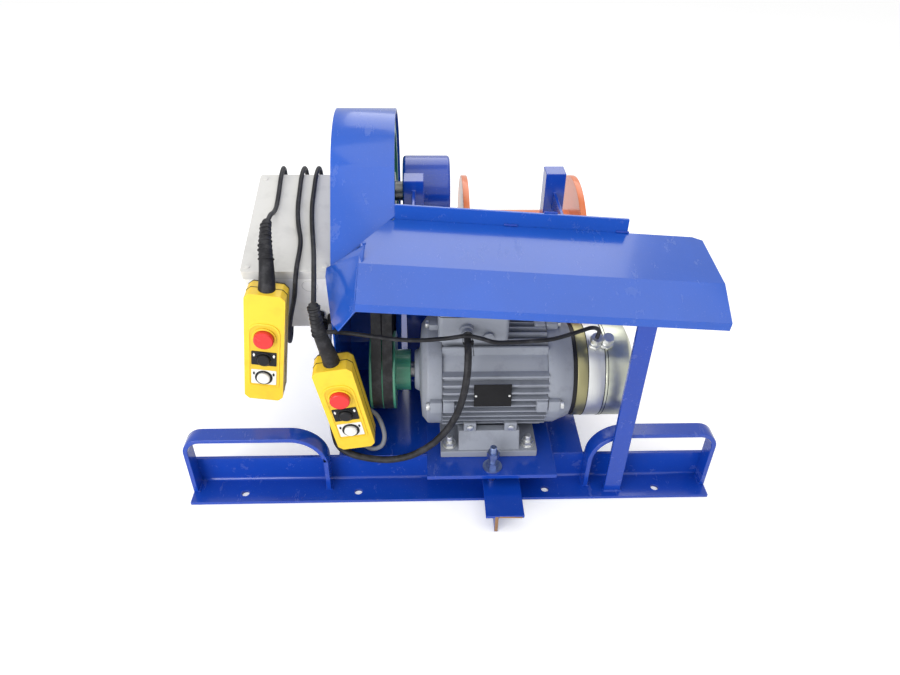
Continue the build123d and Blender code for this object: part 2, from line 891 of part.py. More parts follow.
with BuildPart() as guard_strut:
    strut_y = front + strut_set_back
    block(
        (strut_x - strut_width / 2, strut_x + strut_width / 2),
        (strut_y, strut_y + strut_thickness),
        (rail_wall, strut_top),
    )
save(guard_strut, "guard_strut")

# A flat bar behind the guard, on two posts
bar_y = front + guard_rear[0] + seat_gap
bar_low = 50
bar_high = 83
bar_left = belt_guard_right
bar_right = 295


def guard_level(x, height):
    """The world height of a point of the guard's section at x."""
    return guard_lip_z + height - (x - guard_left) * tan(fall)


with BuildPart() as guard_bar:
    outline = [
        (bar_left, guard_level(bar_left, bar_low)),
        (bar_right, guard_level(bar_right, bar_low)),
        (bar_right, guard_level(bar_right, bar_high)),
        (bar_left, guard_level(bar_left, bar_high)),
    ]
    section_y(bar_y, bar_y + bar_thickness, outline)
save(guard_bar, "guard_bar")

posts = [(-64.5, front + 262), (182.5, front + 292)]
with BuildPart() as guard_posts:
    for x, post_front in posts:
        half = post_size / 2
        inner = half - post_wall
        block((x - half, x + half), (post_front, post_front + post_size), (deck_z, post_top))
        block(
            (x - inner, x + inner),
            (post_front + post_wall, post_front + post_size - post_wall),
            (deck_z, post_top - post_wall),
            Mode.SUBTRACT,
        )
        bracket_z = guard_level(x, (bar_low + bar_high) / 2)
        block((x - 2.5, x + 2.5), (bar_y + bar_thickness, post_front), (bracket_z - 15, bracket_z + 15))
save(guard_posts, "guard_posts")

# Switch cabinet, leaning back, with a shallow lid on its face
lean = radians(cabinet_tilt)
cabinet_width = cabinet_right - cabinet_left
lid_normal = (0, -sin(lean), cos(lean))
face_normal = (0, -cos(lean), -sin(lean))
under_normal = (0, sin(lean), -cos(lean))
cabinet = Plane(
    origin=(cabinet_left, front + cabinet_fold[0], cabinet_fold[1]),
    x_dir=(1, 0, 0),
    z_dir=lid_normal,
)


def tray(low, high, floor, opening):
    """A box of thin wall, open at one end, between two depths below the lid's face."""
    centre = (cabinet_width / 2, cabinet_length / 2)
    with BuildSketch(cabinet.offset(low)) as outside:
        with Locations(centre):
            RectangleRounded(cabinet_width, cabinet_length, 5)
    extrude(outside.sketch, amount=high - low)
    with BuildSketch(cabinet.offset(floor)) as inside:
        with Locations(centre):
            RectangleRounded(cabinet_width - 2 * cabinet_wall, cabinet_length - 2 * cabinet_wall, 3)
    extrude(inside.sketch, amount=opening - floor, mode=Mode.SUBTRACT)


with BuildPart() as cabinet_body:
    tray(-cabinet_depth, -lid_depth, -cabinet_depth + cabinet_wall, -lid_depth)
save(cabinet_body, "cabinet_body")

with BuildPart() as cabinet_lid:
    tray(-lid_depth, 0, -lid_depth, -cabinet_wall)
save(cabinet_lid, "cabinet_lid")

gland_length = 22
under_length = 16
with BuildPart() as cabinet_glands:
    for x, drop, radius in ((-226, 130, 9.5), (-212, 112, 7), (-233, 105, 8)):
        spot = cabinet.from_local_coords(Vector(x - cabinet_left, 0, -drop))
        face = Plane(origin=spot, x_dir=(1, 0, 0), z_dir=face_normal)
        with BuildSketch(face):
            Circle(radius)
        extrude(amount=gland_length - 8)
        with BuildSketch(face.offset(gland_length - 9)):
            Circle(radius - 1.5)
        extrude(amount=9)
    for x, set_back in ((-300, 55.7), (-235, 143.7)):
        spot = cabinet.from_local_coords(Vector(x - cabinet_left, set_back, -cabinet_depth))
        with BuildSketch(Plane(origin=spot, x_dir=(1, 0, 0), z_dir=under_normal)):
            Circle(8)
        extrude(amount=under_length)
save(cabinet_glands, "cabinet_glands")

# Hand pendants: a case with a latching stop button and two sprung buttons, and a flexible sleeve
stem_radius = 5
well_depth = button_travel + 3
cap_height = 11


def pendant(number, top, bottom, buttons, sleeve_ends):
    """One pendant from the ends of its face's centre line, its buttons and its sleeve's route."""
    low = Vector(bottom[0], front + bottom[1], bottom[2])
    high = Vector(top[0], front + top[1], top[2])
    along = (high - low).normalized()
    outward = (Vector(0, -1, 0) - along * Vector(0, -1, 0).dot(along)).normalized()
    face = Plane(origin=low, x_dir=along.cross(outward), z_dir=outward)
    length = (high - low).length
    half = pendant_width / 2
    with BuildPart() as case:
        with BuildSketch(face) as shape:
            with BuildLine():
                Polyline(
                    (-half + 8, 0),
                    (half - 8, 0),
                    (half, 8),
                    (half, length - 8),
                    (half - 8, length),
                    (8 - half, length),
                    (-half, length - 8),
                    (-half, 8),
                    close=True,
                )
            make_face()
        extrude(shape.sketch, amount=-pendant_depth)
        fillet(case.edges().filter_by(Axis(low, outward)), 5)
        for height, radius in buttons:
            with BuildSketch(face) as well:
                with Locations((0, height)):
                    Circle(radius + seat_gap)
            extrude(well.sketch, amount=-well_depth, mode=Mode.SUBTRACT)
            with BuildSketch(face.offset(-well_depth)) as guide:
                with Locations((0, height)):
                    Circle(stem_radius + fit_gap)
            extrude(guide.sketch, amount=-12 - button_travel, mode=Mode.SUBTRACT)
    save(case, f"pendant_{number}_case")

    for name, (height, radius) in zip(("stop", "raise", "lower"), buttons):
        cap = cap_height if name == "stop" else cap_height - 4
        with BuildPart() as button:
            with BuildSketch(face.offset(button_travel - well_depth)) as cap_shape:
                with Locations((0, height)):
                    Circle(radius)
            extrude(cap_shape.sketch, amount=well_depth - button_travel + cap)
            chamfer(button.edges().sort_by(Axis(low, outward))[-1], 1.5)
            with BuildSketch(face.offset(button_travel - well_depth)) as stem:
                with Locations((0, height)):
                    Circle(stem_radius)
            extrude(stem.sketch, amount=-12)
        save(button, f"pendant_{number}_{name}_button")

    with BuildPart() as sleeve:
        start = high - outward * (pendant_depth / 2)
        with BuildLine() as path:
            spots = [Vector(x, front + y, z) for x, y, z in sleeve_ends[:-1]]
            Spline(start, *spots, tangents=[along, sleeve_ends[-1]])
        rings = []
        for part_way in (0, 0.35, 0.7, 1):
            with BuildSketch(Plane(origin=path.line @ part_way, z_dir=path.line % part_way)) as ring:
                Circle(sleeve_wide + (sleeve_tip - sleeve_wide) * part_way)
            rings.append(ring.sketch)
        loft(rings)
    save(sleeve, f"pendant_{number}_sleeve")


pendant(
    1,
    (-301, 100, 378),
    (-333, 100, 160),
    ((136, stop_radius), (92, button_radius), (52, button_radius)),
    ((-301, 150, 425), (-304, 200, 455), (-1, 35, -2)),
)
pendant(
    2,
    (-198, 30, 280),
    (-168, 45, 92),
    ((128, stop_radius), (88, button_radius), (50, button_radius)),
    ((-214.8, 45, 396.5), (-1.2, 19, 9)),
)


# Cables and cords: each is a tube through its route's points, with rounded turns
def tube(name, diameter, *routes, lug=None):
    with BuildPart() as cable:
        total = 0
        least = []
        for points in routes:
            route = [Vector(x, front + y, z) for x, y, z in points]
            radii = []
            for before, here, after in zip(route, route[1:], route[2:]):
                turn = radians((here - before).get_angle(after - here))
                shorter = min((here - before).length, (after - here).length)
                radii.append(0.45 * shorter / tan(turn / 2))
            with BuildLine() as path:
                FilletPolyline(*route, radius=radii)
            with BuildSketch(Plane(origin=path.line @ 0, z_dir=path.line % 0)) as section:
                Circle(diameter / 2)
            sweep(section.sketch, path=path.line)
            total += path.wire().length
            least.append(min(radii))
        ratio = cable.part.volume / (total * pi * diameter**2 / 4)
        print(f"{name}: {total:.0f} long, least radius {min(least):.0f}, volume ratio {ratio:.4f}")
        if lug:
            x, y = lug
            block((x - 24, x), (front + y - 7, front + y + 7), (deck_z, deck_z + 2.5))
            hexagon((x - 14, front + y), deck_z + 2.5, deck_z + 8, 10)
    save(cable, name)


tube(
    "motor_cable",
    motor_cable_diameter,
    [
        (22, 78, 313),
        (22, 44, 313),
        (21, 22, 285),
        (17, 18, 245),
        (8, 19, 200),
        (-8, 22, 158),
        (-36, 24, 118),
        (-72, 28, 87),
        (-112, 34, 71),
        (-150, 41, 69),
        (-180, 49, 71),
        (-205, 60, 80),
        (-213, 78, 106),
        (-215, 94, 135),
        (-219, 105, 170),
        (-224, 110, 210),
        (-226, 134, 248.8),
        (-226, 167.4, 257.7),
    ],
)

tube(
    "brake_cable",
    brake_cable_diameter,
    [
        (246, 109.02, 284.26),
        (246, 99.2, 307.3),
        (229, 88, 321),
        (200, 78, 317),
        (160, 68, 310),
        (110, 62, 311),
        (66, 60, 311),
        (44, 60, 320),
        (20, 60, 326.5),
        (-6, 60, 321),
        (-51, 61, 316),
        (-90, 62, 317),
        (-129, 66, 321),
        (-167, 74, 322),
        (-200, 80, 321),
        (-220, 92, 310),
        (-231, 112, 290),
        (-233, 136.8, 275.4),
        (-233, 160.9, 281.9),
    ],
)

tube(
    "earth_lead",
    cord_diameter,
    [
        (-212, 162.7, 275.1),
        (-212, 136, 268),
        (-211, 112, 243),
        (-209, 97, 212),
        (-204, 92, 186),
        (-190, 91, 166),
        (-170, 91, 150),
        (-148, 91, 142),
        (-134, 84, 136),
        (-124, 68, 126),
        (-119, 58, 106),
        (-125, 56, 84),
        (-143, 63, 69),
        (-160, 75, 67.6),
        (-170, 90, 67.3),
    ],
    lug=(-158, 97.5),
)

# The pendants' cords: over the lid, down behind the cabinet, round a coil and back to a gland
coil_radius = 44
coil_half = 9
coil_height = 17
coil_1 = (-370, 620)
coil_2 = (-259, 645)
tube(
    "cord_1",
    cord_diameter,
    [
        (-304, 200, 455),
        (-305, 235, 453),
        (-307, 268, 439),
        (-308, 302, 433.5),
        (-309, 345, 445),
        (-310, 390, 460),
        (-312, 430, 457),
        (-315, 451, 425),
        (-319, 455, 350),
        (-323, 458, 270),
        (-330, 474, 190),
        (-340, 506, 125),
        (-355, 542, 78),
        (coil_1[0], coil_1[1] - coil_radius, 50),
        (coil_1[0], coil_1[1] - coil_radius, coil_height),
    ],
    [
        (coil_1[0] + coil_radius, coil_1[1], coil_height),
        (coil_1[0] + coil_radius, coil_1[1], 50),
        (-320, 598, 95),
        (-304, 548, 150),
        (-289, 490, 220),
        (-277, 464, 300),
        (-274, 457, 370),
        (-273, 451, 425),
        (-272, 430, 457),
        (-272.5, 390, 460),
        (-272, 345, 445),
        (-271, 302, 433.5),
        (-265, 257, 422),
        (-256, 221, 412),
        (-255.5, 188, 404),
        (-256, 154, 398),
        (-259, 142, 374),
        (-265, 151, 342),
        (-274, 162, 312),
        (-284, 174, 276),
        (-292, 187, 238),
        (-298, 205, 205),
        (-300, 236, 199),
        (-300, 257.6, 221),
        (-300, 249.2, 252.7),
    ],
)

tube(
    "cord_2",
    cord_diameter,
    [
        (-214.8, 45, 396.5),
        (-216, 64, 405.5),
        (-219, 95, 411.5),
        (-223.5, 133, 414),
        (-228, 168, 411.6),
        (-234, 208, 408.5),
        (-241, 255, 421),
        (-246, 302, 433.5),
        (-246.5, 345, 445),
        (-246, 390, 460),
        (-245, 430, 457),
        (-246, 451, 425),
        (-248, 459, 350),
        (-249, 474, 270),
        (-251, 512, 190),
        (-255, 560, 125),
        (-259, 598, 80),
        (coil_2[0], coil_2[1] - coil_radius, 50),
        (coil_2[0], coil_2[1] - coil_radius, coil_height),
    ],
    [
        (coil_2[0] + coil_radius, coil_2[1], coil_height),
        (coil_2[0] + coil_radius, coil_2[1], 50),
        (-216, 632, 95),
        (-220, 580, 145),
        (-226, 515, 182),
        (-231, 452, 200),
        (-234, 402, 203),
        (-235, 366, 210),
        (-235, 343.2, 241.7),
        (-235, 334.2, 275.5),
    ],
)

for name, centre in (("coil_1", coil_1), ("coil_2", coil_2)):
    with BuildPart() as coil:
        spot = (centre[0], front + centre[1])
        upright(spot, 0, coil_height, coil_radius + coil_half)
        upright(spot, 0, coil_height, coil_radius - coil_half, Mode.SUBTRACT)
    save(coil, name)
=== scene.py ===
from math import cos, pi, radians, sin

import bpy
from mathutils import Matrix, Vector


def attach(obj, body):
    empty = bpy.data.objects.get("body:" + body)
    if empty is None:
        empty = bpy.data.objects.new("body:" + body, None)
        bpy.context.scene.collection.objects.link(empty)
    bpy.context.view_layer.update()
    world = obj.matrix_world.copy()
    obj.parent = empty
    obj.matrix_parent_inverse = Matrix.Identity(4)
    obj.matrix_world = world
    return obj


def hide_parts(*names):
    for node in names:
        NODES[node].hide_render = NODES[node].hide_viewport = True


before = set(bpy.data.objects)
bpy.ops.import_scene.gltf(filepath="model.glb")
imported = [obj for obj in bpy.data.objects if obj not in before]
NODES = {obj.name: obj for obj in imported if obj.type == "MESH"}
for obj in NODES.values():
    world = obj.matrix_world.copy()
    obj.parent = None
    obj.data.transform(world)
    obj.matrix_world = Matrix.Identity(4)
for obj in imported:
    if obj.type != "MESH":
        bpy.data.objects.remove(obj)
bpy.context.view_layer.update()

bl_info = {
    "name": "Electric rope winch",
    "version": (1, 0, 0),
    "blender": (4, 5, 0),
    "location": "View3D > Sidebar > Winch",
    "description": "Dresses a rope winch on a steel base with its finishes, cords and small fittings",
    "category": "Object",
}

FRONT = -0.380  # the front rail's front edge, in metres
MM = 0.001
MOTOR_AXIS_Y, MOTOR_AXIS_Z = 152, 183


def at(x, y, z):
    """A point from millimetres, with y counted from the front rail's front edge."""
    return Vector((x * MM, FRONT + y * MM, z * MM))


def round_motor(x, radius, angle):
    """A point round the motor's axis, its angle counted up from the front."""
    return at(x, MOTOR_AXIS_Y - radius * cos(angle), MOTOR_AXIS_Z + radius * sin(angle))


class WinchFinishes(bpy.types.PropertyGroup):
    """Colours of the winch's finishes."""

    def _colour(name, value, description):
        return bpy.props.FloatVectorProperty(
            name=name, description=description, subtype="COLOR", size=3, min=0, max=1, default=value
        )

    # Frame blue and guard blue are lit and shaded copies of one enamel: the guard copy is lighter, painted
    # light on the sheets, and the frame copy darker, painted shade that offsets the front lamps.
    frame_blue_painted_shade: _colour("Frame blue, painted shade", (0.004, 0.048, 0.38), "Gloss enamel on the welded steelwork")
    guard_blue_painted_light: _colour("Guard blue, painted light", (0.010, 0.085, 0.47), "Gloss enamel on the sheet guards")
    motor_grey: _colour("Motor grey", (0.27, 0.29, 0.34), "Enamel on the motor's castings")
    pulley_green: _colour("Pulley green", (0.045, 0.23, 0.14), "Enamel on both pulleys")
    drum_orange: _colour("Drum orange", (0.78, 0.17, 0.03), "Enamel on the rope drum")
    zinc_yellow: _colour("Yellow zinc", (0.40, 0.37, 0.20), "Passivated zinc on the brake's ring")
    bright_metal: _colour("Bright metal", (0.80, 0.81, 0.80), "Turned and plated metal")
    cover_metal: _colour("Cover metal", (0.66, 0.68, 0.57), "Pressed cover of the brake")
    case_yellow: _colour("Case yellow", (0.90, 0.60, 0.03), "Moulded cases of the pendants")
    stop_red: _colour("Stop red", (0.72, 0.03, 0.03), "Mushroom heads of the stop buttons")
    cabinet_white: _colour("Cabinet white", (0.66, 0.65, 0.62), "Moulded switch cabinet")
    sheath_black: _colour("Sheath black", (0.013, 0.013, 0.016), "Rubber of cables and sleeves")
    sheath_grey: _colour("Sheath grey", (0.19, 0.20, 0.23), "Sheath of the earth lead")
    del _colour


class WinchSizes(bpy.types.PropertyGroup):
    """Sizes of the small fittings."""

    cord_diameter: bpy.props.FloatProperty(
        name="Cord",
        description="Diameter of the pendants' cords",
        default=0.008,
        min=0.004,
        max=0.012,
        unit="LENGTH",
    )
    bead_radius: bpy.props.FloatProperty(
        name="Weld bead",
        description="Radius of the weld beads",
        default=0.0024,
        min=0.001,
        max=0.005,
        unit="LENGTH",
    )
    rivet_radius: bpy.props.FloatProperty(
        name="Rivet",
        description="Radius of the small rivets and screws",
        default=0.0025,
        min=0.001,
        max=0.006,
        unit="LENGTH",
    )


class WinchStage(bpy.types.PropertyGroup):
    """Floor, lamps and camera."""

    floor_tone: bpy.props.FloatProperty(
        name="Floor tone",
        description="Paleness of the floor",
        default=0.86,
        min=0,
        max=1,
    )
    lamp_power: bpy.props.FloatProperty(
        name="Lamp power",
        description="Power that each soft lamp takes its share of",
        default=42.0,
        min=0,
        unit="POWER",
    )
    world_level: bpy.props.FloatProperty(
        name="World level",
        description="Strength of the even light",
        default=0.75,
        min=0,
    )


class Signal:
    """A shader socket that takes part in sums."""

    def __init__(self, finish, socket):
        self.finish = finish
        self.socket = socket

    def _math(self, operation, *values):
        return self.finish.node("ShaderNodeMath", {"operation": operation}, *values)

    def __add__(self, other):
        return self._math("ADD", self, other)

    def __mul__(self, other):
        return self._math("MULTIPLY", self, other)

    def above(self, edge, soft):
        """1 where the signal is over an edge, with a soft step."""
        return self.finish.node(
            "ShaderNodeMapRange", {"interpolation_type": "SMOOTHSTEP"}, self, edge - soft, edge + soft
        )


class Finish:
    """One material's node tree."""

    def __init__(self, name):
        self.material = bpy.data.materials.new(name)
        self.material.use_nodes = True
        self.tree = self.material.node_tree
        self.shader = self.tree.nodes["Principled BSDF"]
        self.place = self.node("ShaderNodeTexCoord", {}, out="Object")

    def node(self, kind, settings, *values, out=0):
        """A new node with its settings and its first inputs, as one of its outputs."""
        node = self.tree.nodes.new(kind)
        for key, value in settings.items():
            setattr(node, key, value)
        for index, value in enumerate(values):
            self.feed(node.inputs[index], value)
        return Signal(self, node.outputs[out])

    def feed(self, socket, value):
        """Links a signal to a socket, or sets the socket's value."""
        if isinstance(value, Signal):
            self.tree.links.new(value.socket, socket)
        elif value is not None:
            socket.default_value = value

    def noise(self, scale, detail=3.0, roughness=0.5, stretch=(1, 1, 1)):
        """Noise between 0 and 1 over the object's own coordinates."""
        place = self.place
        if stretch != (1, 1, 1):
            place = self.node("ShaderNodeMapping", {}, self.place, (0, 0, 0), (0, 0, 0), stretch)
        return self.node("ShaderNodeTexNoise", {}, place, None, scale, detail, roughness, out="Fac")

    def mix(self, mask, low, high):
        """A colour between two, by a mask."""
        node = self.tree.nodes.new("ShaderNodeMix")
        node.data_type = "RGBA"
        self.feed(node.inputs[0], mask)
        for socket, value in ((node.inputs[6], low), (node.inputs[7], high)):
            self.feed(socket, value if isinstance(value, Signal) else (*value[:3], 1))
        return Signal(self, node.outputs[2])

    def bump(self, height, distance, strength=1.0):
        node = self.tree.nodes.new("ShaderNodeBump")
        node.inputs["Distance"].default_value = distance
        node.inputs["Strength"].default_value = strength
        self.feed(node.inputs["Height"], height)
        self.feed(self.shader.inputs["Normal"], Signal(self, node.outputs[0]))

    def set(self, **sockets):
        """Feeds the shader's named sockets, and returns the material."""
        for key, value in sockets.items():
            socket = self.shader.inputs[key.replace("_", " ").title().replace("Ior", "IOR")]
            if isinstance(value, tuple):
                value = (*value[:3], 1)
            self.feed(socket, value)
        return self.material


def tint(colour, factor):
    """A colour made lighter or darker."""
    return tuple(min(1.0, c * factor) for c in colour[:3])


def gloss_enamel(name, colour, gloss=0.16, wear=0.55):
    """Sprayed enamel: slight orange peel, dust and a few dull scuffs."""
    f = Finish(name)
    peel = f.noise(260, 2)
    cloud = f.noise(7, 4, 0.6)
    scuff = f.noise(38, 5, 0.7, (1, 0.35, 1)).above(0.64, 0.06)
    dust = f.noise(420, 2).above(0.70, 0.04)
    base = f.mix(cloud, tint(colour, 0.82), tint(colour, 1.16))
    base = f.mix(scuff * (0.16 * wear), base, (0.35, 0.40, 0.55))
    base = f.mix(dust * 0.05, base, (0.75, 0.80, 0.95))
    f.bump(peel * 0.25 + cloud * 0.75, 0.0006, 0.35)
    return f.set(
        base_color=base,
        roughness=cloud * 0.10 + scuff * 0.22 + gloss,
        coat_weight=0.35,
        coat_roughness=0.08,
        specular_ior_level=0.5,
    )


def cast_enamel(name, colour, roughness=0.42):
    """Enamel over a sand casting or a rough pressing."""
    f = Finish(name)
    grain = f.noise(520, 3, 0.6)
    cloud = f.noise(14, 4)
    grime = f.noise(30, 5, 0.65).above(0.60, 0.10)
    base = f.mix(cloud, tint(colour, 0.88), tint(colour, 1.12))
    base = f.mix(grime * 0.35, base, tint(colour, 0.55))
    f.bump(grain, 0.0005, 0.5)
    return f.set(base_color=base, roughness=grime * 0.16 + cloud * 0.08 + roughness, specular_ior_level=0.45)


def turned_metal(name, colour, roughness=0.26, stretch=(60, 1, 1)):
    """Turned metal, with fine rings round the X axis and faint stains."""
    f = Finish(name)
    rings = f.noise(30, 4, 0.6, stretch)
    stain = f.noise(9, 4, 0.6).above(0.58, 0.14)
    base = f.mix(rings, tint(colour, 0.86), tint(colour, 1.10))
    base = f.mix(stain * 0.30, base, tint((colour[0], colour[1] * 0.96, colour[2] * 0.80), 0.86))
    f.bump(rings, 0.0001, 0.25)
    return f.set(base_color=base, metallic=1.0, roughness=rings * 0.10 + stain * 0.06 + roughness)


def plated_metal(name, colour, roughness=0.30):
    """Plated steel of bolts and nuts."""
    f = Finish(name)
    mottle = f.noise(160, 4, 0.6)
    base = f.mix(mottle, tint(colour, 0.75), tint(colour, 1.12))
    f.bump(mottle, 0.0003, 0.4)
    return f.set(base_color=base, metallic=1.0, roughness=mottle * 0.22 + roughness)


def moulded_plastic(name, colour, roughness=0.34, grain=700, shine=0.5):
    """Moulded plastic with a fine spark-eroded grain and rubbed patches."""
    f = Finish(name)
    spark = f.noise(grain, 2)
    rub = f.noise(26, 4, 0.6).above(0.58, 0.12)
    base = f.mix(rub, colour, tint(colour, 0.90))
    f.bump(spark, 0.0002, 0.35)
    return f.set(base_color=base, roughness=rub * 0.12 + roughness, specular_ior_level=shine)


def rubber(name, colour, roughness=0.55, dust=0.5):
    """Dusty rubber of cables, sleeves and belts."""
    f = Finish(name)
    chalk = f.noise(60, 5, 0.7).above(0.56, 0.14)
    grain = f.noise(600, 2)
    base = f.mix(chalk * dust, colour, (0.13, 0.13, 0.14))
    f.bump(grain, 0.00025, 0.4)
    return f.set(base_color=base, roughness=chalk * 0.15 + roughness, specular_ior_level=0.25)


def dark_steel(name):
    """Dark mill finish of the shafts and the bare pins."""
    return turned_metal(name, (0.34, 0.34, 0.35), 0.32)


# Edge radii in millimetres of the nodes whose sheets and castings have rounded edges
EDGE_RADII = {
    "motor_guard": 1.1, "belt_guard": 1.0, "guard_strut": 1.2, "guard_bar": 1.0, "guard_posts": 1.6,
    "lifting_handles": 1.2, "motor_plate": 1.4, "deck_plate": 0.9, "centre_beam": 0.9, "front_rail": 0.9,
    "rear_rail": 0.9, "motor_feet": 2.2, "drive_end_shield": 2.0, "rear_end_shield": 2.0, "stator_housing": 0.8,
    "brake_cover": 1.8, "brake_ring": 0.7, "brake_coil": 0.7, "cabinet_lid": 2.0, "cabinet_body": 1.2,
    "motor_pulley": 0.8, "driven_pulley": 0.8, "pendant_1_case": 2.4, "pendant_2_case": 2.4,
    "pendant_1_stop_button": 1.4, "pendant_2_stop_button": 1.4, "motor_fasteners": 0.6, "tension_bolt": 0.6,
    "bearing_pedestal": 1.2, "bearing_block": 1.5, "drum": 1.0,
}


def round_edges(node, radius):
    """Rounds a CAD node's sharp edges with live modifiers, its own mesh untouched."""
    piece = NODES[node]
    weld = piece.modifiers.new("Weld", "WELD")
    weld.merge_threshold = 0.00002
    bevel = piece.modifiers.new("Bevel", "BEVEL")
    bevel.width = radius * MM
    bevel.segments = 3
    bevel.limit_method = "ANGLE"
    bevel.angle_limit = radians(38)
    bevel.harden_normals = True


def coat(node, material):
    """Gives a CAD node its finish."""
    if not NODES[node].material_slots:
        NODES[node].data.materials.append(material)
    for slot in NODES[node].material_slots:
        slot.material = material


FINISH = {}

STEELWORK = (
    "front_rail", "rear_rail", "lifting_handles", "side_member_left", "side_member_right", "centre_beam",
    "deck_plate", "motor_plate", "hinge_lugs", "gearbox_housing", "bearing_block", "bearing_pedestal",
    "guard_posts", "guard_strut",
)
GUARDS = ("motor_guard", "belt_guard", "guard_bar")
CASTINGS = ("stator_housing", "motor_feet", "drive_end_shield", "rear_end_shield", "terminal_box")


def deselect():
    """Leaves edit mode and clears the selection."""
    if bpy.context.object and bpy.context.object.mode != "OBJECT":
        bpy.ops.object.mode_set(mode="OBJECT")
    bpy.ops.object.select_all(action="DESELECT")


def settle(name, finish):
    """Names the active piece, brings its place into its mesh, and hands it to the base."""
    piece = bpy.context.object
    piece.name = name
    piece.data.name = name
    bpy.ops.object.transform_apply(location=True, rotation=True, scale=True)
    bpy.ops.object.shade_smooth_by_angle(angle=radians(35))
    piece.data.materials.clear()
    piece.data.materials.append(FINISH[finish])
    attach(piece, "base")


def soften(width):
    """Rounds the active piece's edges with a bevel that is applied."""
    piece = bpy.context.object
    bpy.ops.object.transform_apply(location=False, rotation=False, scale=True)
    bevel = piece.modifiers.new("Bevel", "BEVEL")
    bevel.width = width
    bevel.segments = 2
    bevel.limit_method = "ANGLE"
    bpy.ops.object.modifier_apply(modifier=bevel.name)


def turn_to(normal):
    """The rotation that brings +Z to a normal."""
    return Vector(normal).normalized().to_track_quat("Z", "Y").to_euler()


def slab(centre, size, rotation=(0, 0, 0), edge=0.0008):
    """A box with softened edges."""
    deselect()
    bpy.ops.mesh.primitive_cube_add(size=1, location=centre, rotation=rotation, scale=size)
    soften(edge)
    return bpy.context.object


def rod(centre, radius, depth, normal=(0, 0, 1), sides=32, edge=0.0006):
    """A round or many-sided bar with softened ends."""
    deselect()
    bpy.ops.mesh.primitive_cylinder_add(
        vertices=sides, radius=radius, depth=depth, location=centre, rotation=turn_to(normal)
    )
    soften(edge)
    return bpy.context.object


def ring(centre, radius, thickness, normal=(0, 0, 1), around=40):
    """A torus square to a normal."""
    deselect()
    bpy.ops.mesh.primitive_torus_add(
        major_radius=radius,
        minor_radius=thickness,
        major_segments=around,
        minor_segments=12,
        location=centre,
        rotation=turn_to(normal),
    )
    return bpy.context.object


def join(pieces):
    """Makes one piece of several, and leaves it active."""
    deselect()
    for piece in pieces:
        piece.select_set(True)
    bpy.context.view_layer.objects.active = pieces[0]
    if len(pieces) > 1:
        bpy.ops.object.join()


def sheet(outlines, place, thickness):
    """A flat sheet cut from closed outlines, the first its edge and the rest its holes."""
    curve = bpy.data.curves.new("sheet", "CURVE")
    curve.dimensions = "2D"
    curve.fill_mode = "BOTH"
    curve.extrude = thickness * MM / 2
    for outline in outlines:
        spline = curve.splines.new("POLY")
        spline.points.add(len(outline) - 1)
        for point, (u, v) in zip(spline.points, outline):
            point.co = (u * MM, v * MM, 0, 1)
        spline.use_cyclic_u = True
    piece = bpy.data.objects.new("sheet", curve)
    bpy.context.scene.collection.objects.link(piece)
    deselect()
    piece.select_set(True)
    bpy.context.view_layer.objects.active = piece
    bpy.ops.object.convert(target="MESH")
    bpy.ops.object.mode_set(mode="EDIT")
    bpy.ops.mesh.select_all(action="SELECT")
    bpy.ops.mesh.remove_doubles(threshold=1e-6)
    bpy.ops.mesh.normals_make_consistent(inside=False)
    bpy.ops.object.mode_set(mode="OBJECT")
    piece.matrix_world = place
    return bpy.context.object


def rounded(width, height, corner, centre=(0, 0), crown=None):
    """A rectangle's outline with round corners, and a crown radius for its upper two."""
    points = []
    steps = 6
    crown = crown or corner
    corners = ((1, 1, crown), (-1, 1, crown), (-1, -1, corner), (1, -1, corner))
    for quarter, (side, end, radius) in enumerate(corners):
        u = centre[0] + side * (width / 2 - radius)
        v = centre[1] + end * (height / 2 - radius)
        for k in range(steps + 1):
            angle = radians(90 * (quarter + k / steps))
            points.append((u + radius * cos(angle), v + radius * sin(angle)))
    return points


def circle(centre, radius):
    """A circle's outline."""
    sides = 40
    return [
        (centre[0] + radius * cos(2 * pi * k / sides), centre[1] + radius * sin(2 * pi * k / sides))
        for k in range(sides)
    ]


def plane(origin, right, upward, rise=0.0):
    """A placing matrix from an origin and two directions, raised along its normal."""
    right, upward = Vector(right).normalized(), Vector(upward).normalized()
    outward = right.cross(upward)
    turn = Matrix((right, upward, outward)).transposed().to_4x4()
    return Matrix.Translation(Vector(origin) + outward * rise * MM) @ turn


def nut(centre, flats, height, normal):
    """A hexagonal nut or bolt head with softened corners."""
    return rod(centre, flats * MM / 1.732, height * MM, normal, sides=6, edge=0.0005)


def bead(path, radius):
    """A rippled weld bead laid along straight runs."""
    spots = []
    ripple = 0.0022
    for a, b in zip(path, path[1:]):
        count = max(2, int((b - a).length / ripple))
        spots += [a.lerp(b, k / count) for k in range(count)]
    spots.append(path[-1])
    curve = bpy.data.curves.new("bead", "CURVE")
    curve.dimensions = "3D"
    curve.bevel_depth = radius
    curve.bevel_resolution = 2
    curve.use_fill_caps = True
    spline = curve.splines.new("POLY")
    spline.points.add(len(spots) - 1)
    for k, (point, spot) in enumerate(zip(spline.points, spots)):
        wander = Vector((sin(2.3 * k), cos(1.7 * k), sin(1.1 * k))) * 0.0002
        point.co = (*(spot + wander), 1)
        point.radius = 0.84 + 0.16 * (k % 2)
    piece = bpy.data.objects.new("bead", curve)
    bpy.context.scene.collection.objects.link(piece)
    deselect()
    piece.select_set(True)
    bpy.context.view_layer.objects.active = piece
    bpy.ops.object.convert(target="MESH")
    return bpy.context.object


def girth(node, place, normal):
    """The centre and radius of a CAD node where a plane cuts it."""
    mesh = NODES[node].data
    cuts = []
    for edge in mesh.edges:
        a, b = (mesh.vertices[i].co - place for i in edge.vertices)
        low, high = a.dot(normal), b.dot(normal)
        if low * high < 0:
            cuts.append(place + a.lerp(b, low / (low - high)))
    centre = sum(cuts, Vector()) / len(cuts)
    return centre, max((cut - centre).length for cut in cuts)


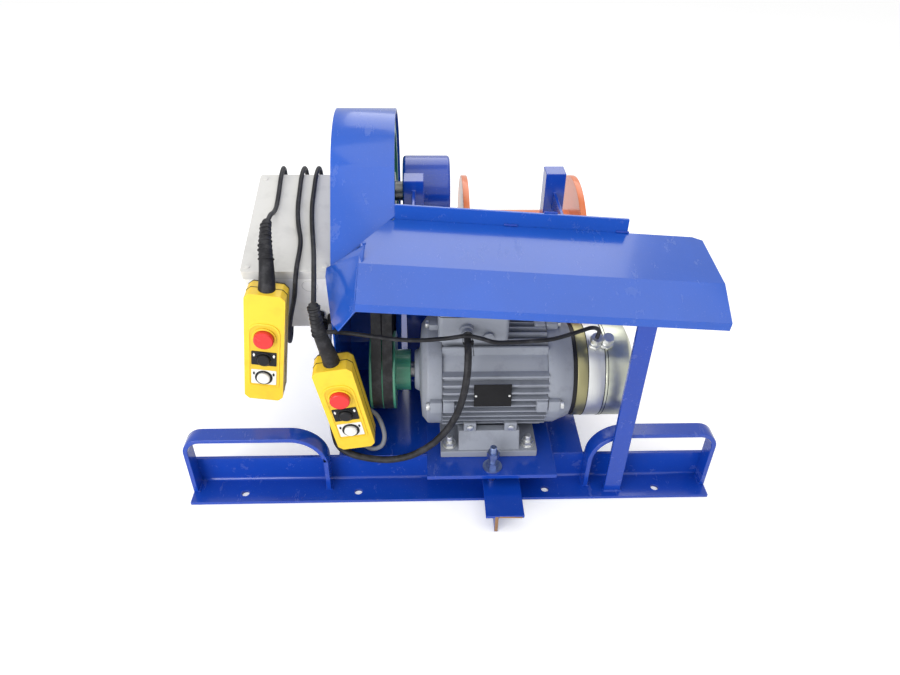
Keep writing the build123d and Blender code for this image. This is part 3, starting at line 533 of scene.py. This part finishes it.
def nurbs(name, points, diameter, finish):
    """A round cord on one smooth spline through given points."""
    curve = bpy.data.curves.new(name, "CURVE")
    curve.dimensions = "3D"
    curve.bevel_depth = diameter / 2
    curve.bevel_resolution = 4
    curve.resolution_u = 8
    curve.use_fill_caps = True
    spline = curve.splines.new("NURBS")
    spline.points.add(len(points) - 1)
    for point, place in zip(spline.points, points):
        point.co = (*place, 1)
    spline.order_u = 3
    spline.use_endpoint_u = True
    piece = bpy.data.objects.new(name, curve)
    bpy.context.scene.collection.objects.link(piece)
    curve.materials.append(FINISH[finish])
    return piece


# The cords' routes, through the CAD's own points

LID_TO_COIL_1 = [
    (-304, 200, 455), (-305, 235, 453), (-307, 268, 439), (-308, 302, 433.5), (-309, 345, 445),
    (-310, 390, 460), (-312, 430, 457), (-315, 451, 425), (-319, 455, 350), (-323, 458, 270),
    (-330, 474, 190), (-340, 506, 125), (-355, 542, 78),
]
COIL_1_TO_GLAND = [
    (-320, 598, 95), (-304, 548, 150), (-289, 490, 220), (-277, 464, 300), (-274, 457, 370),
    (-273, 451, 425), (-272, 430, 457), (-272.5, 390, 460), (-272, 345, 445), (-271, 302, 433.5),
    (-265, 257, 422), (-256, 221, 412), (-255.5, 188, 404), (-256, 154, 398), (-259, 142, 374),
    (-265, 151, 342), (-274, 162, 312), (-284, 174, 276), (-292, 187, 238), (-298, 205, 205),
    (-300, 236, 199), (-300, 257.6, 221), (-300, 249.2, 252.7),
]
LID_TO_COIL_2 = [
    (-214.8, 45, 396.5), (-216, 64, 405.5), (-219, 95, 411.5), (-223.5, 133, 414), (-228, 168, 411.6),
    (-234, 208, 408.5), (-241, 255, 421), (-246, 302, 433.5), (-246.5, 345, 445), (-246, 390, 460),
    (-245, 430, 457), (-246, 451, 425), (-248, 459, 350), (-249, 474, 270), (-251, 512, 190), (-255, 560, 125),
    (-259, 598, 80),
]
COIL_2_TO_GLAND = [
    (-216, 632, 95), (-220, 580, 145), (-226, 515, 182), (-231, 452, 200), (-234, 402, 203), (-235, 366, 210),
    (-235, 343.2, 241.7), (-235, 334.2, 275.5),
]
COIL_CENTRES = ((-370, 620), (-259, 645))
COIL_RADIUS = 44
CORD_SPACING = 8.2


def coil_turns(centre, turns, start, end):
    """Points of a coil from one angle to another, two turns side by side and two high."""
    points = []
    steps = 14
    sweep = turns * 360 + (end - start)
    count = int(abs(sweep) / 360 * steps)
    for k in range(count + 1):
        part = k / count
        angle = radians(start + sweep * part)
        layer = min(1.0, max(0.0, (part - 0.42) / 0.16))
        wander = 0.5 - 0.5 * cos(2 * pi * part)
        radius = COIL_RADIUS - CORD_SPACING / 2 + CORD_SPACING * wander
        height = CORD_SPACING / 2 + 0.2 + CORD_SPACING * layer
        points.append((centre[0] + radius * cos(angle), centre[1] + radius * sin(angle), height))
    return points


def cord_route(number):
    """The whole cord, from its gland round the coil to its pendant."""
    centre = COIL_CENTRES[number - 1]
    tail = COIL_1_TO_GLAND if number == 1 else COIL_2_TO_GLAND
    lead = LID_TO_COIL_1 if number == 1 else LID_TO_COIL_2
    # The tail comes down to the coil's right side, and the lead leaves its front
    down = [(centre[0] + COIL_RADIUS, centre[1] + 4, 50), (centre[0] + COIL_RADIUS, centre[1] + 12, 22)]
    up = [(centre[0] - 14, centre[1] - COIL_RADIUS, 24), (centre[0] - 3, centre[1] - COIL_RADIUS, 46)]
    turns = coil_turns(centre, 3, 35, 245)
    return list(reversed(tail)) + down + turns + up + list(reversed(lead))


class WINCH_OT_finishes(bpy.types.Operator):
    """Make every finish and give the CAD nodes theirs"""

    bl_idname = "winch.finishes"
    bl_label = "Finishes"

    def execute(self, context):
        c = context.scene.winch_finishes
        FINISH.update(
            # The frame's blue is the shaded copy of the enamel, and the guards' blue is its painted-light copy.
            blue=gloss_enamel("blue_enamel_painted_shade_finish", c.frame_blue_painted_shade),
            guard=gloss_enamel("guard_enamel_painted_light_finish", c.guard_blue_painted_light),
            grey=cast_enamel("grey_enamel_finish", c.motor_grey),
            green=gloss_enamel("green_enamel_finish", c.pulley_green, 0.28, 0.3),
            orange=gloss_enamel("orange_enamel_finish", c.drum_orange, 0.24, 0.4),
            zinc=turned_metal("yellow_zinc_finish", c.zinc_yellow, 0.34),
            cover=turned_metal("brake_cover_finish", c.cover_metal, 0.30, (40, 1, 1)),
            bright=turned_metal("bright_metal_finish", c.bright_metal, 0.40),
            plated=plated_metal("plated_finish", c.bright_metal),
            # The tension bolt's plating is tinted blue: a painted reflection of the blue steelwork round it.
            stud=plated_metal("stud_finish", (0.30, 0.38, 0.62), 0.26),
            rust=cast_enamel("flame_cut_finish", (0.30, 0.17, 0.09), 0.8),
            shaft=dark_steel("shaft_finish"),
            yellow=moulded_plastic("yellow_case_finish", c.case_yellow, 0.36),
            red=moulded_plastic("stop_red_finish", c.stop_red, 0.24),
            panel=moulded_plastic("panel_finish", tint(c.case_yellow, 0.84), 0.42),
            plate=moulded_plastic("blank_plate_finish", (0.010, 0.010, 0.012), 0.42, shine=0.2),
            black=moulded_plastic("black_plastic_finish", (0.013, 0.013, 0.015), 0.38, shine=0.28),
            white=moulded_plastic("white_button_finish", (0.82, 0.81, 0.78), 0.30),
            cabinet=moulded_plastic("cabinet_finish", c.cabinet_white, 0.45, 420),
            # The body's white is made 1.35 times lighter: painted light on its front face, which sits in shade.
            cabinet_base=moulded_plastic("cabinet_base_finish", tint(c.cabinet_white, 1.35), 0.45, 420),
            sheath=rubber("sheath_finish", c.sheath_black, 0.46, 0.25),
            grey_sheath=rubber("grey_sheath_finish", c.sheath_grey, 0.5, 0.2),
            belt=rubber("belt_finish", (0.012, 0.012, 0.014), 0.34, 0.18),
        )
        for node in STEELWORK:
            coat(node, FINISH["blue"])
        # The guards take the lighter copy of the blue enamel: painted light.
        for node in GUARDS:
            coat(node, FINISH["guard"])
        for node in CASTINGS:
            coat(node, FINISH["grey"])
        for node in ("hinge_pin", "rotor_shaft", "motor_bearings", "brake_disc", "input_shaft", "drum_shaft"):
            coat(node, FINISH["shaft"])
        coat("motor_fasteners", FINISH["plated"])
        # Blue-tinted plating: a painted reflection of the blue steelwork round the bolt.
        coat("tension_bolt", FINISH["stud"])
        coat("brake_ring", FINISH["zinc"])
        coat("brake_coil", FINISH["bright"])
        coat("brake_cover", FINISH["cover"])
        coat("brake_seal", FINISH["black"])
        coat("brake_glands", FINISH["plated"])
        coat("motor_glands", FINISH["grey"])
        coat("motor_pulley", FINISH["green"])
        coat("driven_pulley", FINISH["green"])
        coat("v_belts", FINISH["belt"])
        coat("drum", FINISH["orange"])
        # The body takes the lightened white: painted light on its shaded front face.
        coat("cabinet_body", FINISH["cabinet_base"])
        coat("cabinet_lid", FINISH["cabinet"])
        coat("cabinet_glands", FINISH["black"])
        for node in ("motor_cable", "brake_cable"):
            coat(node, FINISH["sheath"])
        coat("earth_lead", FINISH["grey_sheath"])
        for number in (1, 2):
            coat(f"pendant_{number}_case", FINISH["yellow"])
            coat(f"pendant_{number}_sleeve", FINISH["sheath"])
            coat(f"pendant_{number}_stop_button", FINISH["red"])
            coat(f"pendant_{number}_raise_button", FINISH["black"])
            coat(f"pendant_{number}_lower_button", FINISH["white"])
        for node, radius in EDGE_RADII.items():
            round_edges(node, radius)
        return {"FINISHED"}


class WINCH_OT_cords(bpy.types.Operator):
    """Lay both pendant cords on one spline each"""

    bl_idname = "winch.cords"
    bl_label = "Pendant cords"

    def execute(self, context):
        diameter = context.scene.winch_sizes.cord_diameter
        for number in (1, 2):
            points = [at(*p) for p in cord_route(number)]
            cord = nurbs(f"pendant_cord_{number}", points, diameter, "sheath")
            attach(cord, "base")
            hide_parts(f"cord_{number}", f"coil_{number}")
        return {"FINISHED"}


STOP_HOLE, PRESS_HOLE = 17.0, 11.6
CASE_HALF, CASE_CORNER = 33, 8
CASE_SEAM, CASE_BACK = -22, -41.6
# Each pendant's face: the top and bottom of its centre line, and the heights of its three buttons
PENDANTS = {
    1: ((-301, 100, 378), (-333, 100, 160), (136, 92, 52)),
    2: ((-198, 30, 280), (-168, 45, 92), (128, 88, 50)),
}
# Each sleeve's run, as the corners of a parabola
SLEEVES = {
    1: ((-301, 120, 378), (-299.5, 140, 433.5), (-304, 200, 455)),
    2: ((-198, 49, 281), (-214, 40, 385), (-214.8, 45, 396.5)),
}


def pendant_plane(number, rise=0.0):
    """A pendant's face, with its height along v."""
    top, bottom, _ = PENDANTS[number]
    low = at(*bottom)
    along = (at(*top) - low).normalized()
    outward = Vector((0, -1, 0))
    outward = (outward - along * outward.dot(along)).normalized()
    return plane(low, along.cross(outward), along, rise)


class WINCH_OT_pendants(bpy.types.Operator):
    """Add the pendants' panels, plates, rings, seams and sleeve ribs"""

    bl_idname = "winch.pendants"
    bl_label = "Pendant fittings"

    def execute(self, context):
        for number, (top, bottom, heights) in PENDANTS.items():
            stop, lift, lower = heights
            length = (at(*top) - at(*bottom)).length / MM
            holes = [circle((0, stop), STOP_HOLE)]
            holes += [circle((0, height), PRESS_HOLE) for height in (lift, lower)]
            middle, tall = (stop + 26 + lower - 19) / 2, stop - lower + 45

            outer = rounded(52, tall + 6, 5, (0, middle), 20)
            inner = rounded(47, tall, 4, (0, middle), 18)
            sheet([outer, inner], pendant_plane(number, 0.7), 1.4)
            soften(0.0005)
            settle(f"pendant_{number}_panel_rim", "yellow")

            sheet([inner] + holes, pendant_plane(number, 0.25), 0.5)
            settle(f"pendant_{number}_panel", "panel")

            sheet([rounded(42, 29, 1.5, (0, lift + 1)), holes[1]], pendant_plane(number, 0.9), 0.8)
            settle(f"pendant_{number}_dark_plate", "black")
            sheet([rounded(42, 31, 1.5, (0, lower + 0.5)), holes[2]], pendant_plane(number, 0.9), 0.8)
            settle(f"pendant_{number}_pale_plate", "white")

            marks = []
            for side in (-1, 1):
                for height in (lift + 8, lower + 8):
                    lozenge = [(0, 3.6), (-2.0, 0.4), (-1.0, -3.4), (1.0, -3.4), (2.0, 0.4)]
                    outline = [(side * 16.6 + u, height + v) for u, v in lozenge]
                    marks.append((height > lift, sheet([outline], pendant_plane(number, 1.45), 0.3)))
            for pale, finish, slot in ((True, "white", "white_plastic"), (False, "black", "black_plastic")):
                join([piece for above, piece in marks if above == pale])
                settle(f"pendant_{number}_marks_{finish}", finish)

            for name, height, width, hole, finish in (
                ("stop", stop, 20.2, STOP_HOLE, "yellow"),
                ("lift", lift, 14.4, PRESS_HOLE, "black"),
                ("lower", lower, 14.8, PRESS_HOLE, "black"),
            ):
                sheet([circle((0, height), width), circle((0, height), hole)], pendant_plane(number, 1.9), 1.8)
                soften(0.0005)
                settle(f"pendant_{number}_{name}_collar", finish)

            inset, high = CASE_HALF - CASE_CORNER, length - CASE_CORNER
            edge = [
                (-inset, 0), (inset, 0), (CASE_HALF, CASE_CORNER), (CASE_HALF, high),
                (inset, length), (-inset, length), (-CASE_HALF, high), (-CASE_HALF, CASE_CORNER),
            ]
            grown = [(u * 1.012, (v - length / 2) * 1.004 + length / 2) for u, v in edge]
            shrunk = [(u * 0.9, (v - length / 2) * 0.97 + length / 2) for u, v in edge]
            sheet([grown, shrunk], pendant_plane(number, CASE_SEAM), 1.2)
            settle(f"pendant_{number}_seam", "black")
            back = [(u * 1.006, (v - length / 2) * 1.002 + length / 2) for u, v in edge]
            sheet([back], pendant_plane(number, CASE_BACK), 3.6)
            soften(0.0012)
            settle(f"pendant_{number}_back", "black")

            ribs = []
            start, knee, end = (at(*p) for p in SLEEVES[number])
            for k in range(9):
                t = 0.42 + 0.065 * k
                place = start * (1 - t) ** 2 + knee * 2 * t * (1 - t) + end * t**2
                heading = ((knee - start) * (1 - t) + (end - knee) * t).normalized()
                centre, radius = girth(f"pendant_{number}_sleeve", place, heading)
                ribs.append(ring(centre, radius - 0.0008, 0.0013, heading))
            join(ribs)
            settle(f"pendant_{number}_sleeve_ribs", "sheath")
        return {"FINISHED"}


class WINCH_OT_motor(bpy.types.Operator):
    """Add the motor's lugs and bolts, its bare plate, box seam and the cable tie"""

    bl_idname = "winch.motor"
    bl_label = "Motor fittings"

    def execute(self, context):
        lugs, bolts = [], []
        for quarter in range(4):
            angle = radians(90 * quarter)
            for low, high in ((-40, -18.5), (-17.5, 2), (143, 162.5), (163.5, 184)):
                centre = round_motor((low + high) / 2, 100, angle)
                lugs.append(slab(centre, (MM * (high - low), 0.014, 0.024), (-angle, 0, 0), 0.0025))
            for x in (-43, 187):
                bolts.append(nut(round_motor(x, 101, angle), 12, 6, (1, 0, 0)))
        for x in (31, 103):
            lugs.append(slab(at(x, 61, 128), (0.022, 0.012, 0.020), edge=0.002))
            bolts.append(nut(at(x, 54, 129), 10, 5, (0, -1, 0)))
        for x in (-4.5, 135.5):
            for y in (57, 247):
                bolts.append(rod(at(x, y, 99), 0.0058, 0.016, edge=0.0012))
                bolts.append(rod(at(x, y, 86.4), 0.0125, 0.0016, edge=0.0004))
        join(lugs)
        settle("motor_lugs", "grey")
        join(bolts)
        settle("motor_bolts", "plated")

        tilt = radians(13)
        centre = round_motor(67, 104.2, tilt)
        slab(centre, (0.064, 0.0012, 0.042), (-tilt, 0, 0), 0.0004)
        settle("motor_nameplate", "plate")
        rivets = []
        for side in (-1, 1):
            spot = centre + Vector((side * 0.0285, -0.001, -0.0002))
            rivets.append(rod(spot, 0.0021, 0.0014, (0, -1, 0.23), 16, 0.0005))
        join(rivets)
        settle("motor_plate_rivets", "plated")

        box = plane(at(34, 150, 337), (1, 0, 0), (0, 1, 0))
        sheet([rounded(118.8, 110.8, 8.4), rounded(114, 106, 6)], box, 1.2)
        settle("terminal_box_seam", "black")

        tie = plane(at(21.6, 60, 319.6), (1, 0, 0), (0, 0, 1))
        sheet([rounded(16.4, 25, 7.6), rounded(14.6, 23.2, 6.8)], tie, 4.6)
        band = bpy.context.object
        head = slab(at(28.8, 60, 312), (0.006, 0.0065, 0.0055), edge=0.0008)
        tail = slab(at(31.2, 59, 298), (0.0012, 0.0044, 0.026), (radians(8), radians(-7), 0), 0.0003)
        join([band, head, tail])
        settle("cable_tie", "black")
        return {"FINISHED"}


class WINCH_OT_brake(bpy.types.Operator):
    """Add the nuts of the brake's glands and its joint lines"""

    bl_idname = "winch.brake"
    bl_label = "Brake fittings"

    def execute(self, context):
        nuts = []
        lean = radians(23)
        up = Vector((0, -sin(lean), cos(lean)))
        for x in (246, 266):
            foot = at(x, MOTOR_AXIS_Y, MOTOR_AXIS_Z)
            nuts.append(nut(foot + up * 0.0905, 22, 7, up))
            nuts.append(nut(foot + up * 0.1035, 19, 8, up))
        join(nuts)
        settle("brake_gland_nuts", "plated")
        grooves = []
        for x, radius in ((233.5, 85.4), (263, 85.4), (268, 85.3)):
            centre = at(x, MOTOR_AXIS_Y, MOTOR_AXIS_Z)
            grooves.append(ring(centre, radius * MM, 0.0007, (1, 0, 0), 96))
        join(grooves)
        settle("brake_joint_lines", "plate")
        return {"FINISHED"}


class WINCH_OT_cabinet(bpy.types.Operator):
    """Add the cabinet's screw caps, knock-out rings and gland nuts"""

    bl_idname = "winch.cabinet"
    bl_label = "Cabinet fittings"

    def execute(self, context):
        lean = radians(15)
        fold = at(-350, 155, 389)
        along, across = Vector((0, cos(lean), sin(lean))), Vector((1, 0, 0))
        normal = across.cross(along)
        pieces = []
        for u in (11, 139):
            for v in (12, 238):
                spot = fold + across * u * MM + along * v * MM
                pieces.append(rod(spot + normal * 0.0006, 0.0048, 0.0016, normal, 24, 0.0004))
        for x in (-240, -312):
            spot = at(x, 155, 389) - normal * 0.035
            pieces.append(ring(spot - along * 0.0001, 0.013, 0.0006, -along))
        join(pieces)
        settle("cabinet_caps_and_rings", "cabinet")
        nuts = []
        for x, drop, flats in ((-226, 130, 23), (-233, 105, 19)):
            spot = at(x, 155, 389) - normal * drop * MM
            nuts.append(nut(spot - along * 0.004, flats, 5, -along))
        join(nuts)
        settle("cabinet_gland_nuts", "black")
        return {"FINISHED"}


class WINCH_OT_welds(bpy.types.Operator):
    """Lay the weld beads of the base, the strut, the handles and the guards"""

    bl_idname = "winch.welds"
    bl_label = "Weld beads"

    def execute(self, context):
        radius = context.scene.winch_sizes.bead_radius
        runs = []
        # Round the strut's foot, along the handles' feet and the beam's web, then on the deck
        strut_foot = ((276.4, 12), (276.4, 21), (307.6, 21), (307.6, 12), (276.4, 12))
        runs.append([at(x, y, 6.6) for x, y in strut_foot])
        rail_top = 6.8
        for y0, y1 in ((24, 48), (712, 736)):
            for x in (240.4, 249.6, -218.4, -227.6, 457, -457):
                runs.append([at(x, y0, rail_top), at(x, y1, rail_top)])
        for x in (69.2, 76.8):
            runs.append([at(x, 1, rail_top), at(x, 47, rail_top)])
        deck_top = 63.4
        for x, y in ((-64.5, 262), (182.5, 292)):
            box = [(-17.5, 0), (17.5, 0), (17.5, 35), (-17.5, 35), (-17.5, 0)]
            runs.append([at(x + u, y + v, deck_top) for u, v in box])
        for x in (-32, 32, 108, 172):
            for y in (267.6, 288.4):
                runs.append([at(x - 6, y, deck_top), at(x + 6, y, deck_top)])
        for y in (60.6, 699.4):
            for x in (-203.6, 239.6):
                runs.append([at(x, y, 58), at(x, y, 14)])
        for x, y, z in ((97, 200.4, 449.6), (286, 200.4, 436.4), (163, 207.6, 468.6)):
            runs.append([at(x - 11, y, z + 0.8), at(x + 11, y, z - 0.8)])
        join([bead(run, radius) for run in runs])
        settle("weld_beads", "blue")
        web_end = slab(at(73, -69.8, 20), (0.0056, 0.0008, 0.038), edge=0.0002)
        flange_end = slab(at(97, -69.8, 37.2), (0.040, 0.0008, 0.0036), (0, radians(2), 0), 0.0002)
        join([web_end, flange_end])
        settle("flame_cut_ends", "rust")
        bead([at(-149.4, 11, 420.6), at(-146.6, 71, 452.6)], 0.0011)
        settle("hip_weld", "guard")
        return {"FINISHED"}


class WINCH_OT_guard(bpy.types.Operator):
    """Add the domed rivet where the two sheet guards meet"""

    bl_idname = "winch.guard"
    bl_label = "Guard fittings"

    def execute(self, context):
        radius = context.scene.winch_sizes.rivet_radius
        rise = Vector((0.0697, -0.089, 0.9935))
        rod(at(-140.5, 125, 457.2) + rise * 0.0012, radius * 1.3, 0.0024, rise, 20, 0.0009)
        settle("guard_rivets", "guard")
        return {"FINISHED"}


# Each lamp's name, place, size and share of the lamp power
LAMPS = (
    ("key_lamp", (0.5, -0.8, 2.7), 2.6, 0.55),
    ("fill_lamp", (-1.5, -2.2, 0.7), 1.6, 1.0),
    ("back_lamp", (0.3, 1.9, 2.2), 2.0, 0.5),
)
LAMP_TARGET = Vector((0, -0.05, 0.2))
# The photograph's camera, solved from the base's and the motor's edges
CAMERA_PLACE = (-0.04472, -1.22319, 0.98938)
CAMERA_RIGHT = Vector((0.99940, -0.03165, 0.01394))
CAMERA_AHEAD = Vector((0.03375, 0.80396, -0.59373))
CAMERA_LENS = 28.05


class WINCH_OT_stage(bpy.types.Operator):
    """Set up the pale floor, the soft lamps and the camera"""

    bl_idname = "winch.stage"
    bl_label = "Stage"

    def execute(self, context):
        stage = context.scene.winch_stage
        deselect()
        bpy.ops.mesh.primitive_plane_add(size=14, location=(0, 1.0, -0.0005))
        floor = bpy.context.object
        floor.name = "floor"
        f = Finish("floor_finish")
        tone = stage.floor_tone
        material = f.set(base_color=(tone, tone, tone), roughness=0.9, specular_ior_level=0.1)
        camera_ray = f.node("ShaderNodeLightPath", {}, out="Is Camera Ray")
        f.shader.inputs["Emission Color"].default_value = (1, 1, 1, 1)
        f.feed(f.shader.inputs["Emission Strength"], camera_ray * 0.32)
        floor.data.materials.append(material)

        world = bpy.data.worlds.new("Studio")
        context.scene.world = world
        world.use_nodes = True
        back = world.node_tree.nodes["Background"]
        path = world.node_tree.nodes.new("ShaderNodeLightPath")
        level = world.node_tree.nodes.new("ShaderNodeMapRange")
        level.inputs["To Min"].default_value = stage.world_level
        level.inputs["To Max"].default_value = 1.0
        world.node_tree.links.new(path.outputs["Is Camera Ray"], level.inputs["Value"])
        back.inputs["Color"].default_value = (1, 1, 1, 1)
        world.node_tree.links.new(level.outputs["Result"], back.inputs["Strength"])

        for name, place, size, share in LAMPS:
            deselect()
            aim = (LAMP_TARGET - Vector(place)).to_track_quat("-Z", "Y").to_euler()
            bpy.ops.object.light_add(type="AREA", location=place, rotation=aim)
            lamp = bpy.context.object
            lamp.name = name
            lamp.data.size = size
            lamp.data.energy = stage.lamp_power * share

        upward = CAMERA_RIGHT.cross(CAMERA_AHEAD)
        deselect()
        bpy.ops.object.camera_add()
        camera = bpy.context.object
        camera.name = "camera"
        turn = Matrix((CAMERA_RIGHT, upward, -CAMERA_AHEAD)).transposed().to_4x4()
        camera.matrix_world = Matrix.Translation(CAMERA_PLACE) @ turn
        camera.data.sensor_width = 36
        camera.data.lens = CAMERA_LENS
        camera.data.clip_start = 0.02
        context.scene.camera = camera
        context.scene.view_settings.view_transform = "Standard"
        return {"FINISHED"}


class WINCH_PT_panel(bpy.types.Panel):
    """Lists the winch's settings and its operators"""

    bl_label = "Rope winch"
    bl_idname = "WINCH_PT_panel"
    bl_space_type = "VIEW_3D"
    bl_region_type = "UI"
    bl_category = "Winch"

    def draw(self, context):
        for group in (context.scene.winch_finishes, context.scene.winch_sizes, context.scene.winch_stage):
            for key in group.bl_rna.properties.keys():
                if key not in ("rna_type", "name"):
                    self.layout.prop(group, key)
        for operator in OPERATORS:
            self.layout.operator(operator.bl_idname)


OPERATORS = (
    WINCH_OT_stage, WINCH_OT_finishes, WINCH_OT_cords, WINCH_OT_pendants, WINCH_OT_motor, WINCH_OT_brake,
    WINCH_OT_cabinet, WINCH_OT_welds, WINCH_OT_guard,
)
GROUPS = {"winch_finishes": WinchFinishes, "winch_sizes": WinchSizes, "winch_stage": WinchStage}


def register():
    for group in GROUPS.values():
        bpy.utils.register_class(group)
    for name, group in GROUPS.items():
        setattr(bpy.types.Scene, name, bpy.props.PointerProperty(type=group))
    for operator in OPERATORS:
        bpy.utils.register_class(operator)
    bpy.utils.register_class(WINCH_PT_panel)


def unregister():
    bpy.utils.unregister_class(WINCH_PT_panel)
    for operator in reversed(OPERATORS):
        bpy.utils.unregister_class(operator)
    for name, group in GROUPS.items():
        delattr(bpy.types.Scene, name)
        bpy.utils.unregister_class(group)


def main():
    register()
    for operator in OPERATORS:
        verb = operator.bl_idname.split(".")[1]
        getattr(bpy.ops.winch, verb)()


if __name__ == "__main__":
    main()
